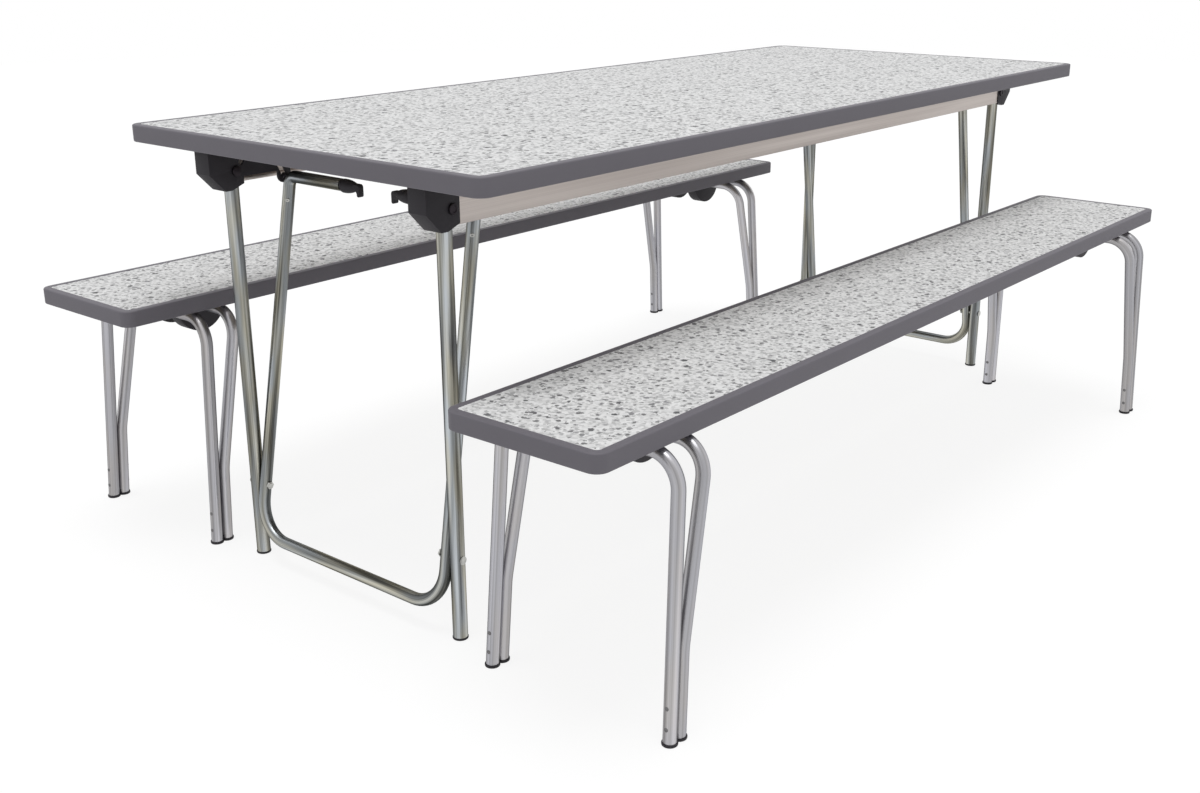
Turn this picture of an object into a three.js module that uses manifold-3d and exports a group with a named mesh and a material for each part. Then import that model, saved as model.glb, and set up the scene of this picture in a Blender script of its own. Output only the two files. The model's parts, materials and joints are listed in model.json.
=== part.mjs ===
// Folding cafeteria table with two loose benches. The table top is an edge-banded laminate board on two
// aluminium rails. At each end a pair of tube legs swings in moulded brackets, braced by a U-shaped stay
// whose spring bolts seat in the brackets. Each bench stands on two folding V frames of bent tube.
// Millimetres, +Z up, length along X, origin on the floor under the middle of the whole set.
import * as THREE from 'three';
import { mergeVertices, toCreasedNormals } from 'three/addons/utils/BufferGeometryUtils.js';
import Module from 'manifold-3d';

const wasm = await Module();
wasm.setup();

// Boards
const TABLE_LENGTH = 1830;
const TABLE_WIDTH = 750;
const TABLE_HEIGHT = 698;
const TABLE_CORNER = 20;
const BENCH_LENGTH = 1830;
const BENCH_WIDTH = 254;
const BENCH_HEIGHT = 416;
const BENCH_CORNER = 19;
const BOARD_THICKNESS = 26;
const LAMINATE_THICKNESS = 1.2;
const BAND_WIDTH = 12.5;
const BAND_ROUND = 2.5;

// Where the benches stand beside the table
const BENCH_SPREAD = 952;
const BENCH_OFFSET = 55;

// Clearances
const SEAT_GAP = 0.3;
const TURN_GAP = 0.5;

// Table legs
const LEG_DIAMETER = 22;
const LEG_BORE = 19;
const LEG_SPREAD = 460;
const LEG_SETBACK = 75;
const LEG_ABOVE_PIVOT = 12;
const PIVOT_DROP = 38;
const PIN_DIAMETER = 8;
const PIN_HEAD_DIAMETER = 16;
const PIN_HEAD_HEIGHT = 2.8;
const FOOT_FLANGE = 4;
const FOOT_DIAMETER = 23.5;
const SOCKET_DEPTH = 22;

// Brackets
const CHEEK_INNER = 4.2;
const CHEEK_OUTER = 6.3;
const BRACKET_FRONT = 47;
const BRACKET_BACK = 13;
const BRACKET_DEPTH = 67;
const BRACKET_NOSE = 40;
const BRACKET_RAKE = 26;
const BRACKET_HEEL = 9;
const BRACKET_CHAMFER = 8.5;
const BRACKET_CORNER = 7;
const STOP_LIP = 10;
const PLATE_DEPTH = 54;
const EAR_RADIUS = 12;

// Rails
const RAIL_HEIGHT = 61;
const RAIL_WALL = 2.2;
const RAIL_STEP = 1.5;
const RAIL_BEAD = 4.8;
const RAIL_BEAD_HEIGHT = 6;
const RAIL_FLANGE = 26;
const RAIL_FLANGE_THICKNESS = 2.8;

// Stays and their spring bolts
const STAY_DIAMETER = 19;
const STAY_PIVOT_HEIGHT = 127;
const STAY_BAR_HEIGHT = 44;
const STAY_TAPER = 9;
const STAY_CORNER_BEND = 14;
const STAY_FOOT_BEND = 60;
const STAY_FOLD = THREE.MathUtils.degToRad(8.8);
const LATCH_REACH = 88;
const LATCH_DROP = 56;
const LATCH_TUBE_END = 76;
const BOLT_BORE = 8.8;
const BOLT_HEAD_DIAMETER = 13;
const BOLT_HEAD_HEIGHT = 1.5;
const NUT_DIAMETER = 13;
const NUT_HEIGHT = 3;

// Latch triggers
const TRIGGER_DIAMETER = 20;
const TRIGGER_LENGTH = 33;
const TRIGGER_ROUND = 14;
const TRIGGER_GAP = 70;
const FINGER_WIDTH = 10;
const FINGER_THICKNESS = 5;
const FINGER_REACH = 11.5;

// Bench frames
const BENCH_TUBE = 19;
const FRAME_SPREAD = 311;
const FRAME_BEND = 45;
const FRAME_SETBACK = 103;
const FRAME_LEAN = 26;
const FRAME_SPLAY = 10;
const PART_HEIGHT = 125;
const PART_BEND = 120;
const FRAME_CROSSBAR_GAP = 0.4;
const HINGE_REACH = 56;
const BLOCK_WIDTH = 28;
const BLOCK_SPREAD = 78;
const BLOCK_BASE = 4;
const PAD_ROUND = 11;
const SPIGOT_DIAMETER = 12;
const SPIGOT_LENGTH = 10;

// Facets
const TUBE_SIDES = 12;
const LEG_SIDES = 14;
const BEND_STEPS = 5;
const CAP_STEPS = 6;
const PATH_STEPS = 10;
const PIN_SIDES = 10;
const CORNER_STEPS = 3;
const ROUND_STEPS = 6;

// Levels and places that follow from the sizes above
const QUARTER = Math.PI / 2;
const TABLE_UNDERSIDE = TABLE_HEIGHT - BOARD_THICKNESS;
const BENCH_UNDERSIDE = BENCH_HEIGHT - BOARD_THICKNESS;
const LEG_RADIUS = LEG_DIAMETER / 2;
const LEG_X = TABLE_LENGTH / 2 - LEG_SETBACK;
const LEG_Y = LEG_SPREAD / 2;
const PIVOT_Z = TABLE_UNDERSIDE - PIVOT_DROP;
const INNER_CHEEK_FACE = LEG_Y - LEG_RADIUS - TURN_GAP;
const OUTER_CHEEK_FACE = LEG_Y + LEG_RADIUS + TURN_GAP;
const BRACKET_INSIDE = INNER_CHEEK_FACE - CHEEK_INNER;
const BRACKET_OUTSIDE = OUTER_CHEEK_FACE + CHEEK_OUTER;
const RAIL_OUTSIDE = BRACKET_OUTSIDE - RAIL_STEP;
const LATCH_X = LEG_X - LATCH_REACH;
const LATCH_Z = TABLE_UNDERSIDE - LATCH_DROP;
const STAY_RADIUS = STAY_DIAMETER / 2;
const STAY_ARM_Y = LEG_Y - LEG_RADIUS - TURN_GAP - STAY_RADIUS;
const STAY_LEAN = Math.atan2(LATCH_REACH, LATCH_Z - STAY_PIVOT_HEIGHT);
const STAY_LENGTH = Math.hypot(LATCH_REACH, LATCH_Z - STAY_PIVOT_HEIGHT);
const LEG_TO_STAY = PIVOT_Z - STAY_PIVOT_HEIGHT;
const BOLT_TIP_Y = INNER_CHEEK_FACE - SEAT_GAP;
const FRAME_X = BENCH_LENGTH / 2 - FRAME_SETBACK;
const FRAME_Y = FRAME_SPREAD / 2;
const CROSSBAR_X = FRAME_X - FRAME_LEAN;
const HINGE_X = CROSSBAR_X - HINGE_REACH;
const BENCH_TUBE_RADIUS = BENCH_TUBE / 2;
const CROSSBAR_Z = BENCH_UNDERSIDE - FRAME_CROSSBAR_GAP - BENCH_TUBE_RADIUS;
const INNER_LEG_X = FRAME_X - BENCH_TUBE - TURN_GAP;

// Finishes
const LAMINATE = { color: 0xdcdbd9, roughness: 0.45, metalness: 0 };
const CORE = { color: 0xa88a66, roughness: 0.9, metalness: 0 };
const EDGE = { color: 0x6a6872, roughness: 0.55, metalness: 0 };
const SATIN_ALUMINIUM = { color: 0xb4aca8, roughness: 0.4, metalness: 1 };
const ZINC = { color: 0xb0b0a4, roughness: 0.35, metalness: 1 };
const BRIGHT_TUBE = { color: 0xc4c6ca, roughness: 0.25, metalness: 1 };
const BLACK_PLASTIC = { color: 0x2c2a2f, roughness: 0.6, metalness: 0 };

// A closed solid from a geometry, with shared corners merged and slivers dropped.
function solidOf(geometry) {
  const bare = new THREE.BufferGeometry();
  bare.setAttribute('position', geometry.getAttribute('position'));
  bare.setIndex(geometry.getIndex());
  const merged = mergeVertices(bare, 1e-3);
  const index = merged.getIndex();
  const triVerts = [];
  for (let i = 0; i < index.count; i += 3) {
    const [a, b, c] = [index.getX(i), index.getX(i + 1), index.getX(i + 2)];
    if (a !== b && b !== c && c !== a) triVerts.push(a, b, c);
  }
  return new wasm.Manifold(new wasm.Mesh({
    numProp: 3,
    vertProperties: new Float32Array(merged.getAttribute('position').array),
    triVerts: new Uint32Array(triVerts),
  }));
}

function geometryOf(solid) {
  const { vertProperties, triVerts } = solid.getMesh();
  const geometry = new THREE.BufferGeometry();
  geometry.setAttribute('position', new THREE.BufferAttribute(vertProperties, 3));
  geometry.setIndex(new THREE.BufferAttribute(triVerts, 1));
  return toCreasedNormals(geometry, Math.PI / 5);
}

function addPart(group, name, solid, finish) {
  const mesh = new THREE.Mesh(geometryOf(solid), new THREE.MeshStandardMaterial(finish));
  mesh.name = name;
  group.add(mesh);
  return mesh;
}

function extruded(shape, depth, curveSegments) {
  return new THREE.ExtrudeGeometry(shape, { depth, bevelEnabled: false, curveSegments });
}

// A flat outline in X and Y raised along Z.
function slab(shape, bottom, top) {
  return solidOf(extruded(shape, top - bottom, CORNER_STEPS).translate(0, 0, bottom));
}

// A side outline in X and Z carried across Y, on the left or the right of the middle.
function sidePlate(shape, side, inside, outside) {
  const geometry = extruded(shape, outside - inside, ROUND_STEPS).rotateX(QUARTER);
  return solidOf(geometry.translate(0, side > 0 ? outside : -inside, 0));
}

// A section in Y and Z drawn out along X, centred on the middle.
function lengthwise(shape, length) {
  const geometry = extruded(shape, length, CORNER_STEPS).rotateX(QUARTER).rotateZ(QUARTER);
  return solidOf(geometry.translate(-length / 2, 0, 0));
}

// A round bar along Y between two distances from the middle.
function crossBar(diameter, x, z, from, to, sides = TUBE_SIDES) {
  const geometry = new THREE.CylinderGeometry(diameter / 2, diameter / 2, Math.abs(to - from), sides);
  return solidOf(geometry.translate(x, (from + to) / 2, z));
}

function uprightBar(diameter, x, y, bottom, top, sides = TUBE_SIDES) {
  const geometry = new THREE.CylinderGeometry(diameter / 2, diameter / 2, top - bottom, sides);
  geometry.rotateX(QUARTER);
  return solidOf(geometry.translate(x, y, (bottom + top) / 2));
}

function box(x0, x1, y0, y1, z0, z1) {
  const geometry = new THREE.BoxGeometry(x1 - x0, y1 - y0, z1 - z0);
  return solidOf(geometry.translate((x0 + x1) / 2, (y0 + y1) / 2, (z0 + z1) / 2));
}

// A turned piece along Y from a profile of radius and length that starts and ends on the axis.
function turned(profile, sides) {
  const points = profile.map(([radius, length]) => new THREE.Vector2(radius, length));
  return solidOf(new THREE.LatheGeometry(points, sides));
}

function polar(centre, angle, radius) {
  return new THREE.Vector2(centre.x + radius * Math.cos(angle), centre.y + radius * Math.sin(angle));
}

// The outline of a round-ended slot, or of a lozenge, along a row of centres.
function slotShape(centres, radius) {
  const last = centres.length - 1;
  const heading = (i) => centres[Math.min(i + 1, last)].clone().sub(centres[Math.max(i - 1, 0)]).angle();
  const outline = centres.map((centre, i) => polar(centre, heading(i) - QUARTER, radius));
  for (let k = 1; k < CAP_STEPS; k++) {
    outline.push(polar(centres[last], heading(last) - QUARTER + (Math.PI * k) / CAP_STEPS, radius));
  }
  for (let i = last; i >= 0; i--) outline.push(polar(centres[i], heading(i) + QUARTER, radius));
  for (let k = 1; k < CAP_STEPS; k++) {
    outline.push(polar(centres[0], heading(0) + QUARTER + (Math.PI * k) / CAP_STEPS, radius));
  }
  return new THREE.Shape(outline);
}

function roundedRectangle(length, width, radius) {
  const x = length / 2 - radius;
  const y = width / 2 - radius;
  const shape = new THREE.Shape();
  shape.absarc(x, y, radius, 0, QUARTER);
  shape.absarc(-x, y, radius, QUARTER, 2 * QUARTER);
  shape.absarc(-x, -y, radius, 2 * QUARTER, 3 * QUARTER);
  shape.absarc(x, -y, radius, 3 * QUARTER, 4 * QUARTER);
  return shape;
}

// The centre line of a bent tube: straight runs between corners, each corner rounded by its bend radius.
class BentPath extends THREE.Curve {
  constructor(corners, bends) {
    super();
    this.knots = [];
    this.headings = [];
    const last = corners.length - 1;
    this.addKnot(corners[0], corners[1].clone().sub(corners[0]).normalize());
    for (let i = 1; i < last; i++) this.addBend(corners[i - 1], corners[i], corners[i + 1], bends[i - 1]);
    this.addKnot(corners[last], corners[last].clone().sub(corners[last - 1]).normalize());
  }

  addKnot(point, heading) {
    this.knots.push(point);
    this.headings.push(heading);
  }

  addBend(before, corner, after, radius) {
    const ahead = corner.clone().sub(before).normalize();
    const away = after.clone().sub(corner).normalize();
    const turn = ahead.angleTo(away);
    const inward = away.clone().addScaledVector(ahead, -ahead.dot(away)).normalize();
    const start = corner.clone().addScaledVector(ahead, -radius * Math.tan(turn / 2));
    const centre = start.addScaledVector(inward, radius);
    const steps = Math.max(1, Math.round((BEND_STEPS * turn) / QUARTER));
    for (let step = 0; step <= steps; step++) {
      const angle = (turn * step) / steps;
      const across = inward.clone().multiplyScalar(-radius * Math.cos(angle));
      const along = ahead.clone().multiplyScalar(radius * Math.sin(angle));
      const heading = ahead.clone().multiplyScalar(Math.cos(angle)).addScaledVector(inward, Math.sin(angle));
      this.addKnot(centre.clone().add(across).add(along), heading);
    }
  }

  getPointAt(u) {
    return this.knots[Math.round(u * (this.knots.length - 1))].clone();
  }

  getTangentAt(u) {
    return this.headings[Math.round(u * (this.knots.length - 1))].clone();
  }
}

function bentTube(diameter, corners, bends) {
  const extrudePath = new BentPath(corners, bends);
  const section = new THREE.Shape().absarc(0, 0, diameter / 2, 0, 4 * QUARTER);
  const steps = extrudePath.knots.length - 1;
  return solidOf(new THREE.ExtrudeGeometry(section, { steps, extrudePath, curveSegments: TUBE_SIDES / 2 }));
}

// A board: particle core, laminate face and a moulded band round the edge, rounded top and bottom.
function addBoard(group, name, length, width, height, corner) {
  const bottom = height - BOARD_THICKNESS;
  const inset = BAND_WIDTH + SEAT_GAP;
  const face = roundedRectangle(length - 2 * inset, width - 2 * inset, corner - BAND_WIDTH);
  const pocket = roundedRectangle(length - 2 * BAND_WIDTH, width - 2 * BAND_WIDTH, corner - BAND_WIDTH);
  const band = new THREE.ExtrudeGeometry(roundedRectangle(length, width, corner), {
    depth: BOARD_THICKNESS - 2 * BAND_ROUND,
    bevelThickness: BAND_ROUND,
    bevelSize: BAND_ROUND,
    bevelOffset: -BAND_ROUND,
    bevelSegments: 2,
    curveSegments: CORNER_STEPS,
  });
  const slabOfBand = solidOf(band.translate(0, 0, bottom + BAND_ROUND));
  const middle = height - LAMINATE_THICKNESS;
  addPart(group, `${name}_core`, slab(face, bottom, middle), CORE);
  addPart(group, `${name}_laminate`, slab(face, middle, height), LAMINATE);
  addPart(group, `${name}_edge`, slabOfBand.subtract(slab(pocket, bottom - 1, height + 1)), EDGE);
}

// An aluminium rail under the table: upright web, top flange screwed to the board, thick bottom bead.
function railSolid(side) {
  const top = TABLE_UNDERSIDE;
  const bottom = top - RAIL_HEIGHT;
  const wall = RAIL_OUTSIDE - RAIL_WALL;
  const profile = new THREE.Shape();
  profile.moveTo(side * RAIL_OUTSIDE, top);
  profile.lineTo(side * RAIL_OUTSIDE, bottom);
  profile.lineTo(side * (RAIL_OUTSIDE - RAIL_BEAD), bottom);
  profile.lineTo(side * (RAIL_OUTSIDE - RAIL_BEAD), bottom + RAIL_BEAD_HEIGHT);
  profile.lineTo(side * wall, bottom + RAIL_BEAD_HEIGHT);
  profile.lineTo(side * wall, top - RAIL_FLANGE_THICKNESS);
  profile.lineTo(side * (RAIL_OUTSIDE - RAIL_FLANGE), top - RAIL_FLANGE_THICKNESS);
  profile.lineTo(side * (RAIL_OUTSIDE - RAIL_FLANGE), top);
  return lengthwise(profile, 2 * (LEG_X - BRACKET_BACK - SEAT_GAP));
}

// The stay top's place in X and Z when the leg has swung by an angle: the stay turns a little on the leg,
// so its bolts rise from the open seat, pass under the board and come down to the folded seat.
function stayTopAt(swing) {
  const lean = STAY_LEAN - (STAY_FOLD * swing) / QUARTER;
  const x = LEG_X - LEG_TO_STAY * Math.sin(swing) + STAY_LENGTH * Math.sin(swing - lean);
  const z = PIVOT_Z - LEG_TO_STAY * Math.cos(swing) + STAY_LENGTH * Math.cos(swing - lean);
  return new THREE.Vector2(x, z);
}

// A moulded bracket: two cheeks round the leg, a stop lip under the nose and a latch plate on the inside
// with the curved slot in which the stay's bolt travels.
function bracketSolid(side) {
  const top = TABLE_UNDERSIDE;
  const bottom = top - BRACKET_DEPTH;
  const front = LEG_X + BRACKET_FRONT;
  const back = LEG_X - BRACKET_BACK;
  const stop = LEG_X + LEG_RADIUS + TURN_GAP;
  const swept = Math.hypot(LEG_RADIUS, LEG_ABOVE_PIVOT) + 2 * TURN_GAP;

  const outline = new THREE.Shape();
  outline.moveTo(front, top);
  outline.lineTo(front, top - BRACKET_NOSE);
  outline.lineTo(front - BRACKET_RAKE, bottom);
  outline.lineTo(LEG_X + BRACKET_HEEL, bottom);
  outline.lineTo(back, bottom + BRACKET_CHAMFER);
  outline.lineTo(back, top - BRACKET_CORNER);
  outline.quadraticCurveTo(back, top, back + BRACKET_CORNER, top);

  const cavity = new THREE.Shape();
  cavity.moveTo(back - 1, bottom - 1);
  cavity.lineTo(stop, bottom - 1);
  cavity.lineTo(stop, bottom + STOP_LIP);
  cavity.lineTo(LEG_X + swept, bottom + STOP_LIP + TURN_GAP);
  cavity.lineTo(LEG_X + swept, PIVOT_Z);
  cavity.absarc(LEG_X, PIVOT_Z, swept, 0, QUARTER);
  cavity.lineTo(back - 1, PIVOT_Z + swept);

  const plateBack = LATCH_X - EAR_RADIUS - SEAT_GAP;
  const plate = new THREE.Shape();
  plate.moveTo(back + 1, top);
  plate.lineTo(plateBack, top);
  plate.lineTo(plateBack, top - PLATE_DEPTH);
  plate.lineTo(back + 1, top - PLATE_DEPTH);

  const bolt = PIN_DIAMETER / 2 + TURN_GAP;
  const travel = [];
  for (let i = 0; i <= PATH_STEPS; i++) travel.push(stayTopAt((QUARTER * i) / PATH_STEPS));

  const pin = PIN_DIAMETER + 2 * SEAT_GAP;
  const [inside, face] = [side * BRACKET_INSIDE, side * INNER_CHEEK_FACE];
  return sidePlate(outline, side, BRACKET_INSIDE, BRACKET_OUTSIDE)
    .subtract(sidePlate(cavity, side, INNER_CHEEK_FACE, OUTER_CHEEK_FACE))
    .add(sidePlate(plate, side, BRACKET_INSIDE, INNER_CHEEK_FACE))
    .add(crossBar(2 * EAR_RADIUS, LATCH_X, LATCH_Z, inside, face, LEG_SIDES))
    .subtract(sidePlate(slotShape(travel, bolt), side, BRACKET_INSIDE - 1, INNER_CHEEK_FACE + 1))
    .subtract(crossBar(pin, LEG_X, PIVOT_Z, side * (BRACKET_INSIDE - 1), side * (BRACKET_OUTSIDE + 1)));
}

// A table leg: straight tube with a pivot hole, a stay hole and a socket for its foot.
function legSolid() {
  const hole = PIN_DIAMETER + 2 * SEAT_GAP;
  const across = (z) => crossBar(hole, LEG_X, z, -LEG_DIAMETER, LEG_DIAMETER);
  return uprightBar(LEG_DIAMETER, LEG_X, 0, FOOT_FLANGE, PIVOT_Z + LEG_ABOVE_PIVOT, LEG_SIDES)
    .subtract(uprightBar(LEG_BORE, LEG_X, 0, FOOT_FLANGE - 1, FOOT_FLANGE + SOCKET_DEPTH))
    .subtract(across(PIVOT_Z))
    .subtract(across(STAY_PIVOT_HEIGHT));
}

function legFootSolid() {
  const plug = LEG_BORE - 4 * SEAT_GAP;
  return uprightBar(FOOT_DIAMETER, LEG_X, 0, 0, FOOT_FLANGE, LEG_SIDES)
    .add(uprightBar(plug, LEG_X, 0, FOOT_FLANGE / 2, FOOT_FLANGE + SOCKET_DEPTH - 2));
}

// The riveted pin that a leg turns on, headed on both cheeks.
function pivotPinSolid() {
  const inside = BRACKET_INSIDE - SEAT_GAP;
  const outside = BRACKET_OUTSIDE + SEAT_GAP;
  const head = PIN_HEAD_DIAMETER / 2;
  const shank = PIN_DIAMETER / 2;
  return turned([
    [0, inside - PIN_HEAD_HEIGHT],
    [head - 1, inside - PIN_HEAD_HEIGHT],
    [head, inside - PIN_HEAD_HEIGHT + 1],
    [head, inside],
    [shank, inside],
    [shank, outside],
    [head, outside],
    [head, outside + PIN_HEAD_HEIGHT - 1],
    [head - 1, outside + PIN_HEAD_HEIGHT],
    [0, outside + PIN_HEAD_HEIGHT],
  ], PIN_SIDES);
}

// The bolt that joins a stay to a leg: low head outside the leg, hexagon nut inside the stay.
function stayBoltSolid() {
  const outside = LEG_Y + LEG_RADIUS + SEAT_GAP;
  const inside = STAY_ARM_Y - STAY_RADIUS - 2 * SEAT_GAP;
  const nut = crossBar(NUT_DIAMETER, 0, 0, inside - NUT_HEIGHT, inside, 6);
  const shank = crossBar(PIN_DIAMETER, 0, 0, inside - NUT_HEIGHT - 1, outside + 1, PIN_SIDES);
  const head = crossBar(BOLT_HEAD_DIAMETER, 0, 0, outside, outside + BOLT_HEAD_HEIGHT, PIN_SIDES);
  return shank.add(nut).add(head);
}

// A U stay in one bent tube: two latch tubes along Y, tight corners, arms that spread downwards past the
// leg bolts, and the foot bar.
function staySolid() {
  const at = (y, run) => {
    const x = LEG_X - run * Math.sin(STAY_LEAN);
    return new THREE.Vector3(x, y, STAY_PIVOT_HEIGHT + run * Math.cos(STAY_LEAN));
  };
  const low = -(STAY_PIVOT_HEIGHT - STAY_BAR_HEIGHT) / Math.cos(STAY_LEAN);
  const topY = STAY_ARM_Y - STAY_TAPER;
  const lowY = STAY_ARM_Y - (STAY_TAPER * low) / STAY_LENGTH;
  const right = [at(-LATCH_TUBE_END, STAY_LENGTH), at(-topY, STAY_LENGTH), at(-lowY, low)];
  const left = [at(lowY, low), at(topY, STAY_LENGTH), at(LATCH_TUBE_END, STAY_LENGTH)];
  const bends = [STAY_CORNER_BEND, STAY_FOOT_BEND, STAY_FOOT_BEND, STAY_CORNER_BEND];
  let tube = bentTube(STAY_DIAMETER, [...right, ...left], bends);
  const hole = PIN_DIAMETER + 2 * SEAT_GAP;
  for (const side of [-1, 1]) {
    tube = tube
      .subtract(crossBar(BOLT_BORE, LATCH_X, LATCH_Z, side * (LATCH_TUBE_END - 1), side * BRACKET_INSIDE))
      .subtract(crossBar(hole, LEG_X, STAY_PIVOT_HEIGHT, side * (STAY_ARM_Y - LEG_RADIUS), side * LEG_Y));
  }
  return tube;
}

// A latch: a moulded trigger with a finger hook, on the rod whose end is the locking bolt.
function latchSolid() {
  const body = TRIGGER_DIAMETER / 2;
  const rod = PIN_DIAMETER / 2;
  const outer = LATCH_TUBE_END - 1;
  const inner = outer - TRIGGER_LENGTH;
  const spindle = turned([
    [0, inner],
    [body * 0.5, inner],
    [body * 0.85, inner + TRIGGER_ROUND / 3],
    [body, inner + TRIGGER_ROUND],
    [body, outer - 2],
    [body - 2, outer],
    [rod, outer],
    [rod, BOLT_TIP_Y - 1],
    [rod - 1, BOLT_TIP_Y],
    [0, BOLT_TIP_Y],
  ], TUBE_SIDES);
  const tip = TRIGGER_GAP / 2;
  const hook = new THREE.Shape();
  hook.moveTo(inner + 3, FINGER_THICKNESS);
  hook.lineTo(tip + FINGER_THICKNESS, FINGER_THICKNESS);
  hook.quadraticCurveTo(tip, FINGER_THICKNESS, tip, 0);
  hook.lineTo(tip, -FINGER_REACH);
  hook.lineTo(tip + FINGER_THICKNESS, -FINGER_REACH);
  hook.quadraticCurveTo(tip + FINGER_THICKNESS, -FINGER_THICKNESS, inner + 3, -FINGER_THICKNESS);
  return spindle.add(lengthwise(hook, FINGER_WIDTH));
}

// One end of the table, drawn at +X.
function addTableEnd(table, end) {
  const group = new THREE.Group();
  const turnedRound = end === 'near';
  group.rotation.z = turnedRound ? Math.PI : 0;
  table.add(group);
  for (const side of [-1, 1]) {
    const hand = (side > 0) === turnedRound ? 'right' : 'left';
    const place = `${end}_${hand}`;
    const facing = side > 0 ? 0 : Math.PI;
    addPart(group, `bracket_${place}`, bracketSolid(side), BLACK_PLASTIC);
    addPart(group, `leg_${place}`, legSolid(), ZINC).position.y = side * LEG_Y;
    addPart(group, `leg_foot_${place}`, legFootSolid(), BLACK_PLASTIC).position.y = side * LEG_Y;
    const turningPieces = [
      [addPart(group, `leg_pin_${place}`, pivotPinSolid(), ZINC), LEG_X, PIVOT_Z],
      [addPart(group, `stay_bolt_${place}`, stayBoltSolid(), ZINC), LEG_X, STAY_PIVOT_HEIGHT],
      [addPart(group, `latch_${place}`, latchSolid(), BLACK_PLASTIC), LATCH_X, LATCH_Z],
    ];
    for (const [mesh, x, z] of turningPieces) {
      mesh.position.set(x, 0, z);
      mesh.rotation.z = facing;
    }
  }
  addPart(group, `stay_${end}`, staySolid(), ZINC);
}

// A place on the legs of a bench frame, which lean outwards and spread downwards.
function benchLegAt(side, footX, barX, z) {
  const drop = (CROSSBAR_Z - z) / (CROSSBAR_Z - FOOT_FLANGE);
  const y = FRAME_Y - FRAME_SPLAY * (1 - drop);
  return new THREE.Vector3(THREE.MathUtils.lerp(barX, footX, drop), side * y, z);
}

// The outer frame of a bench end in one bent tube, from the floor over the crossbar and down again.
function outerFrameSolid() {
  const leg = (side) => [-FOOT_FLANGE, CROSSBAR_Z].map((z) => benchLegAt(side, FRAME_X, CROSSBAR_X, z));
  const bends = [FRAME_BEND, FRAME_BEND];
  return levelled(bentTube(BENCH_TUBE, [...leg(-1), ...leg(1).reverse()], bends), FRAME_X);
}

// The inner frame, whose crossbar is the hinge. Its legs run beside the outer legs and then part from them.
function innerFrameSolid() {
  const beside = CROSSBAR_X - FRAME_X + INNER_LEG_X;
  const leg = (side) => [
    benchLegAt(side, INNER_LEG_X, beside, -FOOT_FLANGE),
    benchLegAt(side, INNER_LEG_X, beside, PART_HEIGHT),
    benchLegAt(side, INNER_LEG_X, HINGE_X, CROSSBAR_Z),
  ];
  const bends = [PART_BEND, FRAME_BEND, FRAME_BEND, PART_BEND];
  return levelled(bentTube(BENCH_TUBE, [...leg(-1), ...leg(1).reverse()], bends), INNER_LEG_X);
}

// Tube ends cut level above the pads, with sockets for their spigots.
function levelled(frame, x) {
  const reach = FRAME_Y + BENCH_TUBE;
  const bore = SPIGOT_DIAMETER + 2 * SEAT_GAP;
  const top = FOOT_FLANGE + SPIGOT_LENGTH + 2;
  return frame
    .subtract(box(HINGE_X, FRAME_X + BENCH_TUBE, -reach, reach, -BENCH_TUBE, FOOT_FLANGE))
    .subtract(uprightBar(bore, x, -FRAME_Y, FOOT_FLANGE - 1, top))
    .subtract(uprightBar(bore, x, FRAME_Y, FOOT_FLANGE - 1, top));
}

// The pad under a pair of bench legs, with a spigot for each tube.
function padSolid() {
  const centres = [new THREE.Vector2(INNER_LEG_X, 0), new THREE.Vector2(FRAME_X, 0)];
  const top = FOOT_FLANGE + SPIGOT_LENGTH;
  return slab(slotShape(centres, PAD_ROUND), 0, FOOT_FLANGE)
    .add(uprightBar(SPIGOT_DIAMETER, INNER_LEG_X, 0, FOOT_FLANGE / 2, top, PIN_SIDES))
    .add(uprightBar(SPIGOT_DIAMETER, FRAME_X, 0, FOOT_FLANGE / 2, top, PIN_SIDES));
}

// The hinge moulding under a bench: two half-round lobes hung over the inner crossbar, joined by strips.
// The outer crossbar runs round their rims as the frame folds.
function hingeBlockSolid() {
  const rim = HINGE_REACH - BENCH_TUBE_RADIUS - TURN_GAP;
  const throat = BENCH_TUBE_RADIUS + FRAME_CROSSBAR_GAP;
  const rise = BENCH_UNDERSIDE - CROSSBAR_Z;
  const lift = Math.asin(rise / rim);
  const lobe = new THREE.Shape();
  lobe.absarc(0, 0, rim, Math.PI - lift, 2 * Math.PI + lift);
  lobe.lineTo(throat, rise);
  lobe.absarc(0, 0, throat, 0, -Math.PI, true);
  lobe.lineTo(-throat, rise);
  const edge = rim * Math.cos(lift) - 1;
  let block = null;
  for (const side of [-1, 1]) {
    const inside = (BLOCK_SPREAD - BLOCK_WIDTH) / 2;
    const piece = sidePlate(lobe, side, inside, inside + BLOCK_WIDTH);
    block = block ? block.add(piece) : piece;
  }
  for (const side of [-1, 1]) {
    const [x0, x1] = side > 0 ? [throat, edge] : [-edge, -throat];
    block = block.add(box(x0, x1, -BLOCK_SPREAD / 2, BLOCK_SPREAD / 2, rise - BLOCK_BASE, rise));
  }
  return block;
}

// One end of a bench, drawn at +X.
function addBenchEnd(bench, name, end) {
  const group = new THREE.Group();
  const turnedRound = end === 'near';
  group.rotation.z = turnedRound ? Math.PI : 0;
  bench.add(group);
  addPart(group, `${name}_outer_frame_${end}`, outerFrameSolid(), BRIGHT_TUBE);
  addPart(group, `${name}_inner_frame_${end}`, innerFrameSolid(), BRIGHT_TUBE);
  const hinge = addPart(group, `${name}_hinge_${end}`, hingeBlockSolid(), BLACK_PLASTIC);
  hinge.position.set(HINGE_X, 0, CROSSBAR_Z);
  for (const side of [-1, 1]) {
    const hand = (side > 0) === turnedRound ? 'right' : 'left';
    addPart(group, `${name}_foot_${end}_${hand}`, padSolid(), BLACK_PLASTIC).position.y = side * FRAME_Y;
  }
}

const set = new THREE.Group();

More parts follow.
